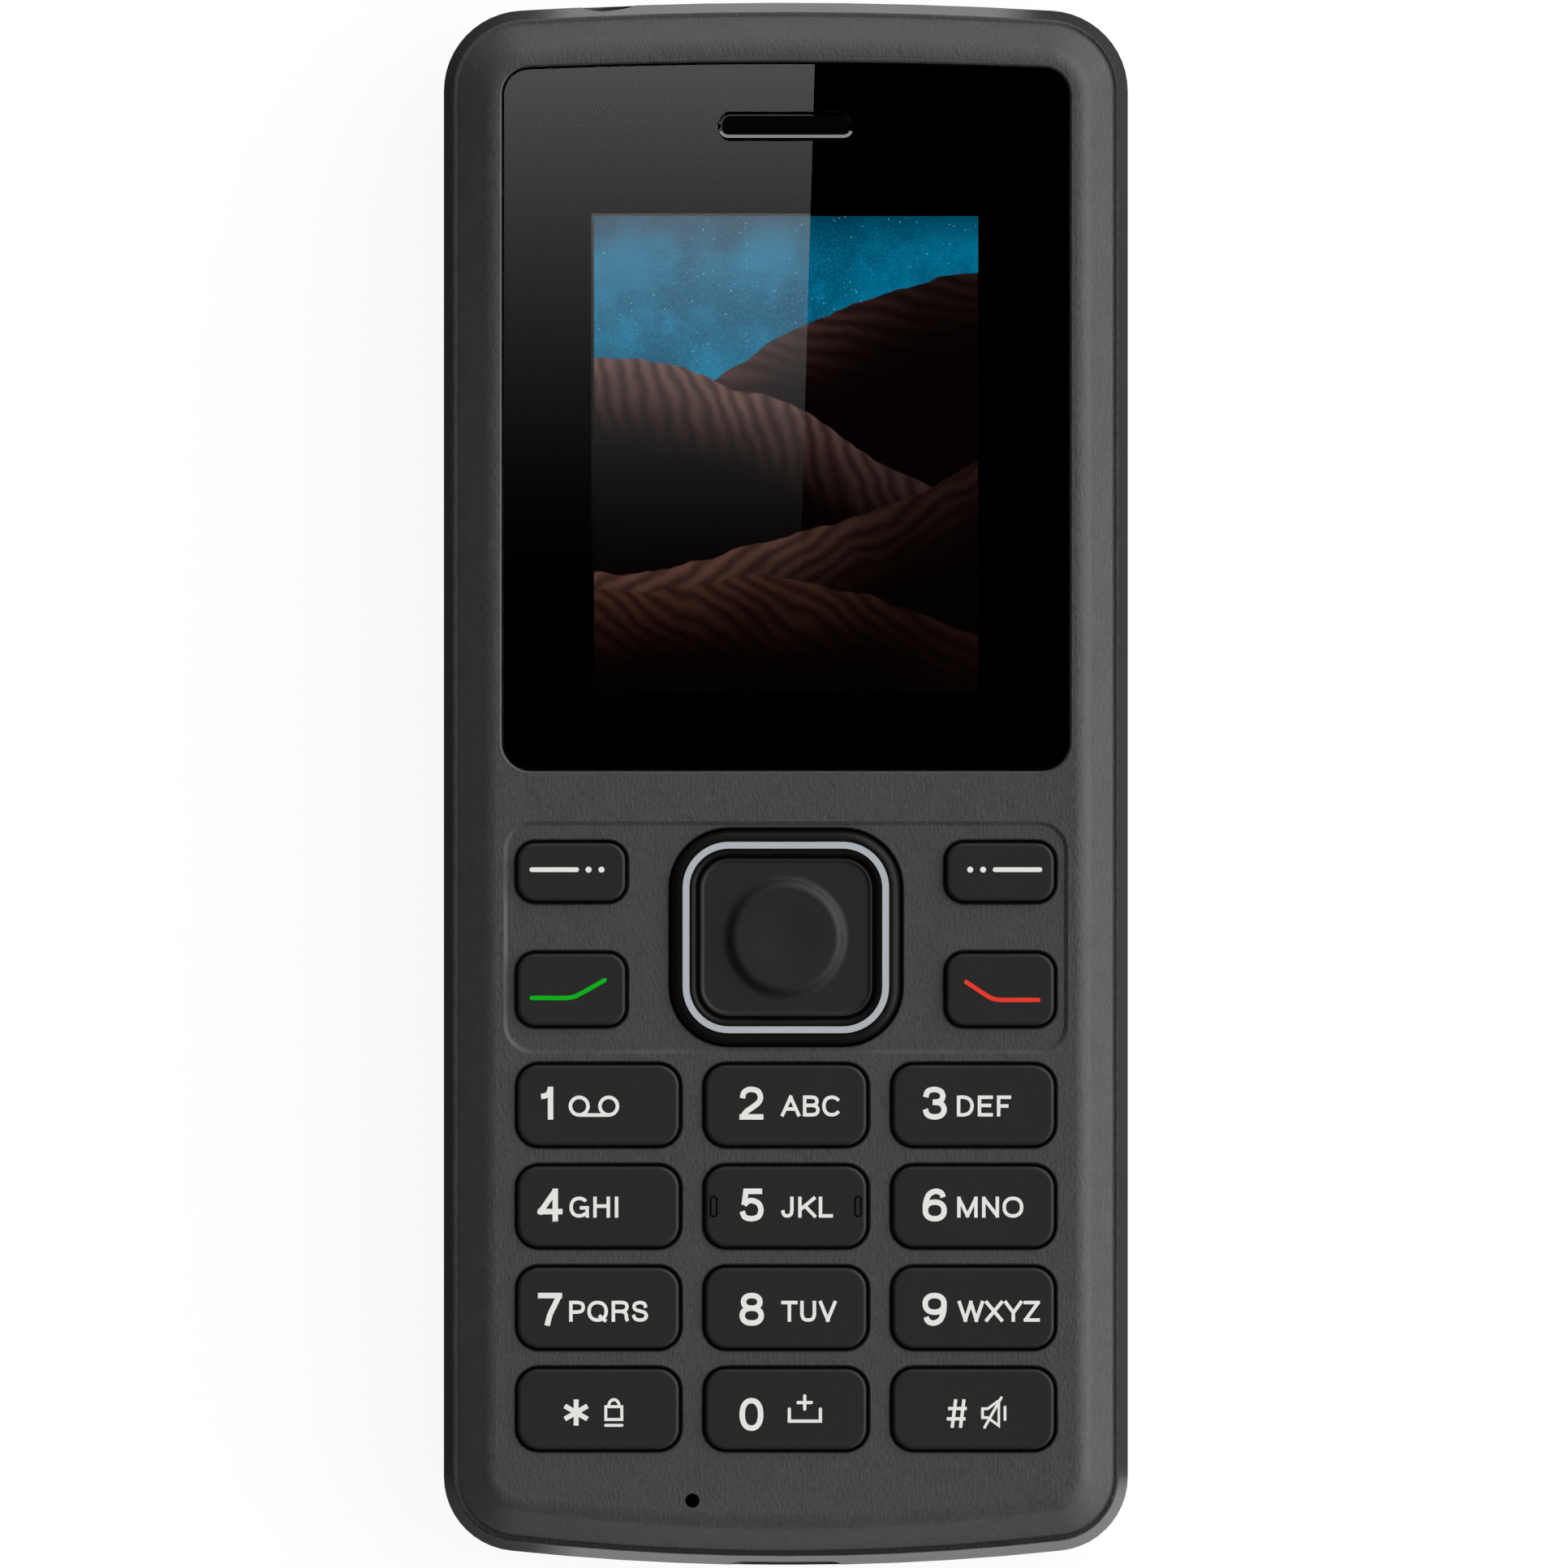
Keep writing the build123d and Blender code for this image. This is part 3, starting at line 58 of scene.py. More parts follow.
class Wire:
    # one socket of a tree, so that plain sums build Math nodes
    def __init__(self, tree, socket):
        self.tree = tree
        self.socket = socket

    def maths(self, operation, *others):
        node = self.tree.nodes.new("ShaderNodeMath")
        node.operation = operation
        for place, value in enumerate((self,) + others):
            if isinstance(value, Wire):
                self.tree.links.new(value.socket, node.inputs[place])
            else:
                node.inputs[place].default_value = value
        return Wire(self.tree, node.outputs[0])

    def flip(self, operation, other):
        node = self.tree.nodes.new("ShaderNodeMath")
        node.operation = operation
        node.inputs[0].default_value = other
        self.tree.links.new(self.socket, node.inputs[1])
        return Wire(self.tree, node.outputs[0])

    def __add__(self, other): return self.maths("ADD", other)
    def __radd__(self, other): return self.maths("ADD", other)
    def __sub__(self, other): return self.maths("SUBTRACT", other)
    def __rsub__(self, other): return self.flip("SUBTRACT", other)
    def __mul__(self, other): return self.maths("MULTIPLY", other)
    def __rmul__(self, other): return self.maths("MULTIPLY", other)
    def __truediv__(self, other): return self.maths("DIVIDE", other)
    def __rtruediv__(self, other): return self.flip("DIVIDE", other)
    def __pow__(self, other): return self.maths("POWER", other)
    def __lt__(self, other): return self.maths("LESS_THAN", other)
    def sin(self): return self.maths("SINE")
    def abs(self): return self.maths("ABSOLUTE")
    def bottom(self, other): return self.maths("MAXIMUM", other)

    def clamp(self):
        return self.maths("MAXIMUM", 0.0).maths("MINIMUM", 1.0)

    def ease(self, low, high):
        # 0 below low, 1 above high, smooth between
        node = self.tree.nodes.new("ShaderNodeMapRange")
        node.interpolation_type = "SMOOTHSTEP"
        self.tree.links.new(self.socket, node.inputs["Value"])
        node.inputs["From Min"].default_value = low
        node.inputs["From Max"].default_value = high
        return Wire(self.tree, node.outputs["Result"])


class Finish:
    # a material or world tree under construction
    def __init__(self, name, owner=None):
        self.owner = owner or bpy.data.materials.new(name)
        self.owner.use_nodes = True
        self.tree = self.owner.node_tree
        self.tree.nodes.clear()

    def add(self, kind, settings=None, out=0, **values):
        node = self.tree.nodes.new(kind)
        for key, value in (settings or {}).items():
            if key == "stops":
                ramp = node.color_ramp.elements
                while len(ramp) < len(value):
                    ramp.new(0.5)
                for element, (place, colour) in zip(ramp, value):
                    element.position = place
                    element.color = (*colour, 1.0)
            else:
                setattr(node, key, value)
        for key, value in values.items():
            spot = socketOf(node, key)
            if isinstance(value, Wire):
                self.tree.links.new(value.socket, spot)
            else:
                spot.default_value = value
        return Wire(self.tree, node.outputs[out])

    def place(self):
        return self.add("ShaderNodeTexCoord", out="Object")

    def axes(self, vector):
        node = self.tree.nodes.new("ShaderNodeSeparateXYZ")
        self.tree.links.new(vector.socket, node.inputs[0])
        return [Wire(self.tree, s) for s in node.outputs]

    def noise(self, scale, stretch=(1, 1, 1), detail=3.0):
        spot = self.add("ShaderNodeMapping", Vector=self.place(), Scale=stretch)
        return self.add("ShaderNodeTexNoise", Vector=spot, Scale=scale, Detail=detail, Roughness=0.55)

    def mix(self, factor, first, second):
        return self.add("ShaderNodeMix", {"data_type": "RGBA"}, out=2, n0=factor, n6=first, n7=second)

    def bump(self, height, strength, distance, normal=None):
        values = {"Height": height, "Strength": strength, "Distance": distance}
        if normal:
            values["Normal"] = normal
        return self.add("ShaderNodeBump", **values)

    def principled(self, **values):
        return self.add("ShaderNodeBsdfPrincipled", **values)

    def done(self, shader, kind="ShaderNodeOutputMaterial"):
        node = self.tree.nodes.new(kind)
        self.tree.links.new(shader.socket, node.inputs["Surface"])
        return self.owner


def grey(level):
    return (level, level, level, 1.0)


def grainedPlastic(name, colour, rough, grain=0.14, depth=0.006, streak=0.4, speck=0.12, shineLevel=0.5,
                   paintedShade=None):
    # moulded plastic with an eroded grain, grain and depth in millimetres; an optional painted shade darkens
    # the ledge under the bevel
    f = Finish(name)
    fine = f.noise(1 / (grain * mm), (1, streak, 1), 2.0)
    coarse = f.noise(1 / (grain * 9 * mm))
    handled = f.noise(60, detail=4.0)
    tone = (fine - 0.5) * speck + (coarse - 0.5) * (speck * 0.5) + (handled - 0.5) * 0.05 + 1.0
    base = f.mix(tone * 0.5, (0, 0, 0, 1), scaled(colour, 2))
    if paintedShade:
        # painted shade on the ledge under the bevel, on the right and at the foot
        x, y, z = f.axes(f.place())
        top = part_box("front_housing")[1].z / mm - paintedShade["drop"]
        side = (x / mm).ease(*paintedShade["right"]).bottom((y / -mm).ease(*paintedShade["end"]))
        ledgeShadeMask = 1.0 - (z / mm).ease(top, top + paintedShade["fade"])
        base = f.mix(ledgeShadeMask * side * paintedShade["dark"], base, (0, 0, 0, 1))
    normal = f.bump(fine, 1.0, depth * mm)
    normal = f.bump(coarse, 0.6, depth * 1.5 * mm, normal)
    shine = (fine - 0.5) * 0.16 + (handled - 0.5) * 0.10 + rough
    return f.done(f.principled(Base_Color=base, Roughness=shine, Normal=normal,
                               Specular_IOR_Level=shineLevel))


def polishedPlastic(name, colour, rough=0.08, shineLevel=0.5, wiped=1.0):
    # piano finish with faint hairlines from wiping
    f = Finish(name)
    hair = f.noise(900, (14, 1, 1), 4.0)
    smear = f.noise(110, (1, 1.4, 1))
    shine = hair.ease(0.62, 0.8) * (0.12 * wiped) + smear.ease(0.45, 0.75) * (0.06 * wiped) + rough
    base = f.mix(smear * 0.3, colour, scaled(colour, 1.3))
    normal = f.bump(hair, 0.15 * wiped, 0.001 * mm)
    return f.done(f.principled(Base_Color=base, Roughness=shine, Normal=normal,
                               Specular_IOR_Level=shineLevel))


def brushedMetal(name, colour, rough=0.3, metallic=1.0, along=(1, 30, 30), scale=500, tarnish=0.25):
    # long fine lines with a dull tarnish
    f = Finish(name)
    lines = f.noise(scale, along, 4.0)
    stain = f.noise(260, detail=4.0)
    base = f.mix(stain.ease(0.45, 0.8) * tarnish, colour, scaled(colour, 0.55))
    shine = (lines - 0.5) * 0.3 + stain * 0.12 + rough
    normal = f.bump(lines, 0.35, 0.004 * mm)
    return f.done(f.principled(Base_Color=base, Roughness=shine, Metallic=metallic, Normal=normal))


def softRubber(name, colour, rough=0.7):
    # matt, with dust in its pores
    f = Finish(name)
    dust = f.noise(1800, detail=4.0)
    grain = f.noise(9000, detail=2.0)
    base = f.mix(dust.ease(0.5, 0.75) * 0.4, colour, scaled(colour, 2.0))
    shine = (dust - 0.5) * 0.3 + rough
    return f.done(f.principled(Base_Color=base, Roughness=shine, Normal=f.bump(grain, 0.8, 0.004 * mm)))


def clearPlastic(name, tint, rough=0.01, ior=1.49, smears=0.02, shineLevel=0.5):
    # see-through, with faint smears
    f = Finish(name)
    smear = f.noise(130, (1, 1.6, 1))
    shine = smear.ease(0.5, 0.8) * smears + rough
    return f.done(f.principled(Base_Color=tint, Roughness=shine, IOR=ior, Transmission_Weight=1.0,
                               Specular_IOR_Level=shineLevel))


def ringedPlastic(name, tint, look):
    # clear plastic with the rings of a flat lens
    f = Finish(name)
    x, y = f.axes(f.place())[:2]
    x, y = x / mm - look["x"], y / mm - look["y"]
    radius = (x * x + y * y) ** 0.5
    saw = (radius / look["ringPitch"]).maths("FRACT")
    return f.done(f.principled(Base_Color=tint, Roughness=saw * 0.1 + 0.05, IOR=1.49, Transmission_Weight=1.0,
                               Normal=f.bump(saw, 1.0, 0.08 * mm)))


def coatedGlass(name):
    # dark front element with a violet and green bloom
    f = Finish(name)
    bloom = f.add("ShaderNodeLayerWeight", out="Facing", Blend=0.35)
    tint = f.mix(bloom.ease(0.1, 0.7), (0.010, 0.004, 0.030, 1), (0.004, 0.030, 0.022, 1))
    smear = f.noise(2400)
    return f.done(f.principled(Base_Color=tint, Roughness=smear * 0.03 + 0.02, Coat_Weight=1.0,
                               Coat_Roughness=0.02))


def circuitBoard(name):
    # solder mask with faint tracks under it and tinned pads
    f = Finish(name)
    cell = f.add("ShaderNodeTexVoronoi", {"feature": "F1", "distance": "MANHATTAN"}, Vector=f.place(),
                 Scale=520.0, Randomness=0.65)
    lines = f.add("ShaderNodeTexBrick", {"offset": 0.3}, out="Fac", Vector=f.place(), Scale=330.0,
                  Mortar_Size=0.035)
    pad = cell < 0.16
    base = f.mix(lines, (0.010, 0.060, 0.035, 1), (0.016, 0.105, 0.058, 1))
    base = f.mix(pad, base, (0.62, 0.55, 0.36, 1))
    normal = f.bump(lines, 0.5, 0.01 * mm)
    return f.done(f.principled(Base_Color=base, Roughness=(pad * -0.1) + 0.4, Metallic=pad * 0.9,
                               Normal=normal))


def inkPrint(name, colour, rough=0.45, shineLevel=0.5):
    # printed ink, a little worn
    f = Finish(name)
    wear = f.noise(5200)
    base = f.mix(wear.ease(0.55, 0.85) * 0.18, colour, scaled(colour, 0.7))
    return f.done(f.principled(Base_Color=base, Roughness=(wear - 0.5) * 0.2 + rough,
                               Specular_IOR_Level=shineLevel, Normal=f.bump(wear, 0.4, 0.002 * mm)))


# the lit display: night dunes under a starry sky

displayLook = {
    "centreX": 0.02, "centreY": 24.05, "halfWidth": 14.02, "halfHeight": 17.41, "strength": 1.0,
    "deepSky": (0.000, 0.085, 0.165, 1), "paleSky": (0.000, 0.175, 0.310, 1), "skyTop": (0.0, 0.012, 0.03, 1),
    "haze": (0.003, 0.29, 0.52, 1), "dust": (0.02, 0.40, 0.62, 1), "glowHeight": 0.55,
    "star": (0.45, 0.85, 0.95, 1), "starCells": 2500.0, "starSize": 0.15,
    "warp": 0.22, "duneDepth": 0.40, "dotCells": 2300.0, "dotDark": 0.12,
    # middle height, swing, waves, phase, tilt, ridge colour, foot colour, far to near
    "dunes": [
        (0.44, 0.10, 2.1, 0.4, 0.26, (0.080, 0.036, 0.030), (0.0016, 0.0005, 0.0005)),
        (0.12, 0.12, 1.6, 2.6, -0.20, (0.170, 0.088, 0.074), (0.0014, 0.0004, 0.0004)),
        (-0.22, 0.15, 1.3, 5.1, 0.18, (0.110, 0.048, 0.036), (0.0012, 0.0004, 0.0003)),
        (-0.62, 0.10, 1.9, 1.2, -0.12, (0.060, 0.022, 0.015), (0.0010, 0.0003, 0.0002)),
    ],
}


def litDisplay(name, look):
    f = Finish(name)
    place = f.place()
    x, y = f.axes(place)[:2]
    u = (x - look["centreX"] * mm) / (look["halfWidth"] * mm)
    v = (y - look["centreY"] * mm) / (look["halfHeight"] * mm)
    cloud = f.noise(190, detail=4.0)
    haze = f.noise(420, detail=5.0)
    grain = f.noise(5200, detail=2.0)
    glow = (1.0 - ((v - look["glowHeight"]).abs() * 1.6)).clamp()
    sky = f.mix(cloud.ease(0.35, 0.7), look["deepSky"], look["paleSky"])
    sky = f.mix(haze.ease(0.5, 0.8) * 0.6 * glow, sky, look["haze"])
    sky = f.mix((grain - 0.45).clamp() * 0.8, sky, look["dust"])
    sky = f.mix(v.ease(0.78, 1.15), sky, look["skyTop"])
    cells = {"Vector": place, "Scale": look["starCells"]}
    stars = f.add("ShaderNodeTexVoronoi", {"feature": "F1"}, **cells)
    starTint = f.add("ShaderNodeTexVoronoi", {"feature": "F1"}, out="Color", **cells)
    star = (1.0 - stars / look["starSize"]).clamp() * f.axes(starTint)[0].ease(0.35, 1.0)
    picture = f.mix(star, sky, look["star"])
    warp = f.noise(120)
    for level, swing, waves, phase, tilt, ridge, foot in look["dunes"]:
        crest = (u * waves + phase).sin() * swing + u * tilt + (warp - 0.5) * look["warp"] + level
        depth = crest - v
        turn = f.add("ShaderNodeMapping", Vector=place, Rotation=(0, 0, 0.5 * phase))
        ripples = f.add("ShaderNodeTexWave", {"wave_type": "BANDS", "bands_direction": "Y"}, out="Fac",
                        Vector=turn, Scale=260.0, Distortion=9.0, Detail=3.0, Detail_Scale=0.6)
        lit = (1.0 - depth / look["duneDepth"]).clamp() ** 2.4
        lit = lit * (ripples * 0.6 + 0.4) * (1.0 - u.ease(-0.35, 0.75) * 0.8)
        picture = f.mix(depth.ease(0.0, 0.008), picture, f.mix(lit, (*foot, 1), (*ridge, 1)))
    dots = f.add("ShaderNodeTexBrick", {"offset": 0.0}, out="Fac", Vector=place, Scale=look["dotCells"],
                 Mortar_Size=0.06, Brick_Width=0.5, Row_Height=0.5)
    picture = f.mix(dots * look["dotDark"], picture, (0, 0, 0, 1))
    picture = f.mix((u.abs() < 1.0) * (v.abs() < 1.0), (0, 0, 0, 1), picture)
    return f.done(f.principled(Base_Color=(0.001, 0.001, 0.0012, 1), Roughness=0.004, Specular_IOR_Level=0.5,
                               Emission_Color=picture, Emission_Strength=look["strength"]))


# painted shade on the housing's ledge, in millimetres; drop is how far the ledge lies under the front's
# highest point
paintedShadeLook = {"drop": 2.2, "fade": 0.12, "right": (19.0, 23.5), "end": (51.0, 55.5), "dark": 0.85}
torchLook = {"x": 3.8, "y": 42.0, "ringPitch": 0.22}

finishes = {
    # the housing carries the painted shade on its ledge
    "housing": grainedPlastic("HousingPlastic", grey(0.053), 0.5, grain=0.21, depth=0.042, streak=0.45,
                              speck=0.75, paintedShade=paintedShadeLook),
    "band": grainedPlastic("BandPlastic", grey(0.040), 0.36, grain=0.12, depth=0.004),
    "cover": grainedPlastic("CoverPlastic", grey(0.032), 0.55, grain=0.2, depth=0.010, streak=1.0),
    "key": grainedPlastic("KeyPlastic", grey(0.0155), 0.45, grain=0.10, depth=0.002, speck=0.08,
                          shineLevel=0.3),
    "inner": grainedPlastic("InnerPlastic", grey(0.045), 0.6, grain=0.25, depth=0.006),
    "innerBlack": grainedPlastic("InnerBlackPlastic", grey(0.010), 0.55, grain=0.2, depth=0.005),
    "navGloss": polishedPlastic("NavGloss", grey(0.006), 0.16, 0.13),
    "bezelGloss": polishedPlastic("BezelGloss", grey(0.010), 0.10),
    "trim": brushedMetal("TrimSilver", (0.56, 0.61, 0.65, 1), 0.42, 0.25, (1, 1, 1), 4000, 0.1),
    "lens": clearPlastic("LensClear", (0.98, 0.99, 1.0, 1), 0.0, 1.49, 0.004, 0.0),
    "mask": polishedPlastic("MaskBlack", grey(0.0006), 0.004, 0.5, 0.04),
    "mesh": polishedPlastic("MeshBlack", grey(0.0015), 0.6, 0.05),
    # painted highlight: light grey for the printed line along the earpiece slot
    "slotEdge": polishedPlastic("SlotEdge", grey(0.30), 0.3),
    "rubberBlack": softRubber("RubberBlack", grey(0.004), 0.8),
    "display": litDisplay("DisplayPicture", displayLook),
    "wrap": polishedPlastic("BatteryWrap", (0.035, 0.045, 0.055, 1), 0.35),
    "gold": brushedMetal("GoldPlate", (0.83, 0.60, 0.22, 1), 0.22, 1.0, (1, 12, 12), 900, 0.15),
    "tin": brushedMetal("TinnedSteel", (0.62, 0.62, 0.60, 1), 0.32, 1.0, (1, 18, 18), 420, 0.3),
    "screw": brushedMetal("ScrewSteel", (0.16, 0.16, 0.17, 1), 0.35, 1.0, (6, 6, 1), 900, 0.3),
    "motor": brushedMetal("MotorSteel", (0.55, 0.55, 0.55, 1), 0.3, 1.0, (9, 9, 1), 600, 0.2),
    "cameraGlass": clearPlastic("CameraGlass", (0.75, 0.8, 0.9, 1), 0.01, 1.5),
    "torchGlass": ringedPlastic("TorchGlass", (0.97, 0.95, 0.86, 1), torchLook),
    "led": softRubber("LedResin", (0.75, 0.62, 0.12, 1), 0.35),
    "silicone": softRubber("Silicone", grey(0.08), 0.65),
    "foam": softRubber("Foam", grey(0.012), 0.9),
    "film": polishedPlastic("DomeFilm", (0.55, 0.55, 0.50, 1), 0.25),
    "flex": polishedPlastic("FlexAmber", (0.42, 0.19, 0.03, 1), 0.3),
    "board": circuitBoard("CircuitBoard"),
    "legend": inkPrint("LegendInk", (0.98, 0.98, 0.94, 1)),
    "cameraElement": coatedGlass("CameraElement"),
    "callInk": inkPrint("CallInk", (0.0, 0.52, 0.010, 1), 0.5, 0.15),
    "endInk": inkPrint("EndInk", (0.98, 0.050, 0.030, 1), 0.5, 0.15),
}

finishOfNode = {
    "front_housing": "housing", "rear_housing": "band", "battery_cover": "cover", "display_lens": "lens",
    "lens_mask": "mask", "earpiece_mesh": "mesh", "battery": "wrap", "battery_cap": "innerBlack",
    "battery_terminals": "gold", "battery_contacts": "innerBlack", "camera_bezel": "bezelGloss",
    "camera_window": "cameraGlass", "torch_lens": "torchGlass", "torch_led": "led",
    "camera_module": "innerBlack", "camera_socket": "tin", "nav_ring": "navGloss", "nav_trim": "trim",
    "nav_pivot_ring": "inner", "select_key": "key", "keymat": "silicone", "dome_sheet": "film",
    "main_board": "board", "display_frame": "inner", "display_panel": "display", "display_gasket": "foam",
    "display_flex": "flex", "earpiece_receiver": "tin", "microphone": "mesh",
    "microphone_boot": "rubberBlack", "loudspeaker": "innerBlack", "loudspeaker_gasket": "foam",
    "vibration_motor": "motor", "headphone_jack": "innerBlack", "usb_socket": "tin", "antenna": "gold",
    "housing_screws": "screw", "left_sim_socket": "tin", "right_sim_socket": "tin", "card_socket": "tin",
    "baseband_shield": "tin", "radio_shield": "tin",
}
for name, piece in nodes.items():
    finish = finishes[finishOfNode.get(name, "key")]
    piece.data.materials.clear()
    piece.data.materials.append(finish)
print("finishes on the CAD nodes")


# mesh helpers

def keep(name, mesh, finish, body):
    piece = bpy.data.objects.new(name, mesh)
    bpy.context.scene.collection.objects.link(piece)
    mesh.materials.clear()
    mesh.materials.append(finish)
    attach(piece, body)
    return piece


def meshOf(source):
    # plain mesh from a curve, text or modified object, which is then removed
    bpy.context.view_layer.update()
    depsgraph = bpy.context.evaluated_depsgraph_get()
    mesh = bpy.data.meshes.new_from_object(source.evaluated_get(depsgraph))
    bpy.data.objects.remove(source)
    return mesh


turnedEdges = {"weld": 1e-7, "crease": 0.6}


def turned(name, profile, centre, finish, body, steps=48):
    # a lathe form about an upright axis; profile of (radius, height) and centre in millimetres
    build = bmesh.new()
    rings = []
    for i in range(steps):
        angle = 2 * math.pi * i / steps
        c, s = math.cos(angle), math.sin(angle)
        rings.append([build.verts.new(((centre[0] + r * c) * mm, (centre[1] + r * s) * mm, z * mm))
                      for r, z in profile])
    for i in range(steps):
        first, second = rings[i], rings[(i + 1) % steps]
        for j in range(len(profile)):
            k = (j + 1) % len(profile)
            build.faces.new((first[j], first[k], second[k], second[j]))
    bmesh.ops.remove_doubles(build, verts=build.verts, dist=turnedEdges["weld"])
    bmesh.ops.recalc_face_normals(build, faces=build.faces[:])
    mesh = bpy.data.meshes.new(name)
    build.to_mesh(mesh)
    build.free()
    for face in mesh.polygons:
        face.use_smooth = True
    mesh.set_sharp_from_angle(angle=turnedEdges["crease"])
    return keep(name, mesh, finish, body)


# printed legends

legendLook = {
    "thick": 0.012, "sink": 0.01, "step": 0.002, "weight": 0.166, "digitHeight": 2.40, "letterHeight": 1.53,
    "icon": 0.26, "small": 0.215, "bar": 0.345, "callLine": 0.315, "dot": 0.22,
    # key: digit, left edge, width, baseline, letters, left edge, width, baseline
    "words": {
        "key_1": ("1", -18.06, 1.09, -24.49, "", 0, 0, 0),
        "key_2": ("2", -3.38, 1.74, -24.49, "ABC", -0.36, 4.42, -24.26),
        "key_3": ("3", 9.97, 1.78, -24.49, "DEF", 12.48, 3.96, -24.26),
        "key_4": ("4", -18.09, 1.80, -31.92, "GHI", -15.79, 3.57, -31.64),
        "key_5": ("5", -3.38, 1.76, -31.92, "JKL", -0.36, 3.80, -31.64),
        "key_6": ("6", 9.97, 1.78, -31.92, "MNO", 12.50, 4.83, -31.64),
        "key_7": ("7", -18.09, 1.76, -39.53, "PQRS", -15.81, 5.78, -39.24),
        "key_8": ("8", -3.38, 1.78, -39.53, "TUV", -0.34, 4.04, -39.24),
        "key_9": ("9", 9.97, 1.78, -39.53, "WXYZ", 12.54, 6.00, -39.24),
        "key_0": ("0", -3.38, 1.74, -47.20, "", 0, 0, 0),
    },
}

# left edge, right edge and advance of each letter, in thousandths of the type size
letterSpans = {
    "A": (14, 654, 667), "B": (73, 627, 667), "C": (44, 681, 722), "D": (81, 674, 722), "E": (86, 616, 667),
    "F": (86, 583, 611), "G": (48, 709, 778), "H": (77, 646, 722), "I": (80, 205, 278), "J": (17, 428, 500),
    "K": (76, 663, 667), "L": (76, 537, 556), "M": (73, 761, 833), "N": (76, 646, 722), "O": (39, 739, 778),
    "P": (86, 622, 667), "Q": (39, 739, 778), "R": (88, 684, 722), "S": (49, 620, 667), "T": (14, 597, 611),
    "U": (79, 644, 722), "V": (20, 647, 667), "W": (16, 928, 944), "X": (19, 648, 667), "Y": (14, 653, 667),
    "Z": (23, 588, 611),
}

stem = ("line", "se", [(0, 0), (0, 1)])
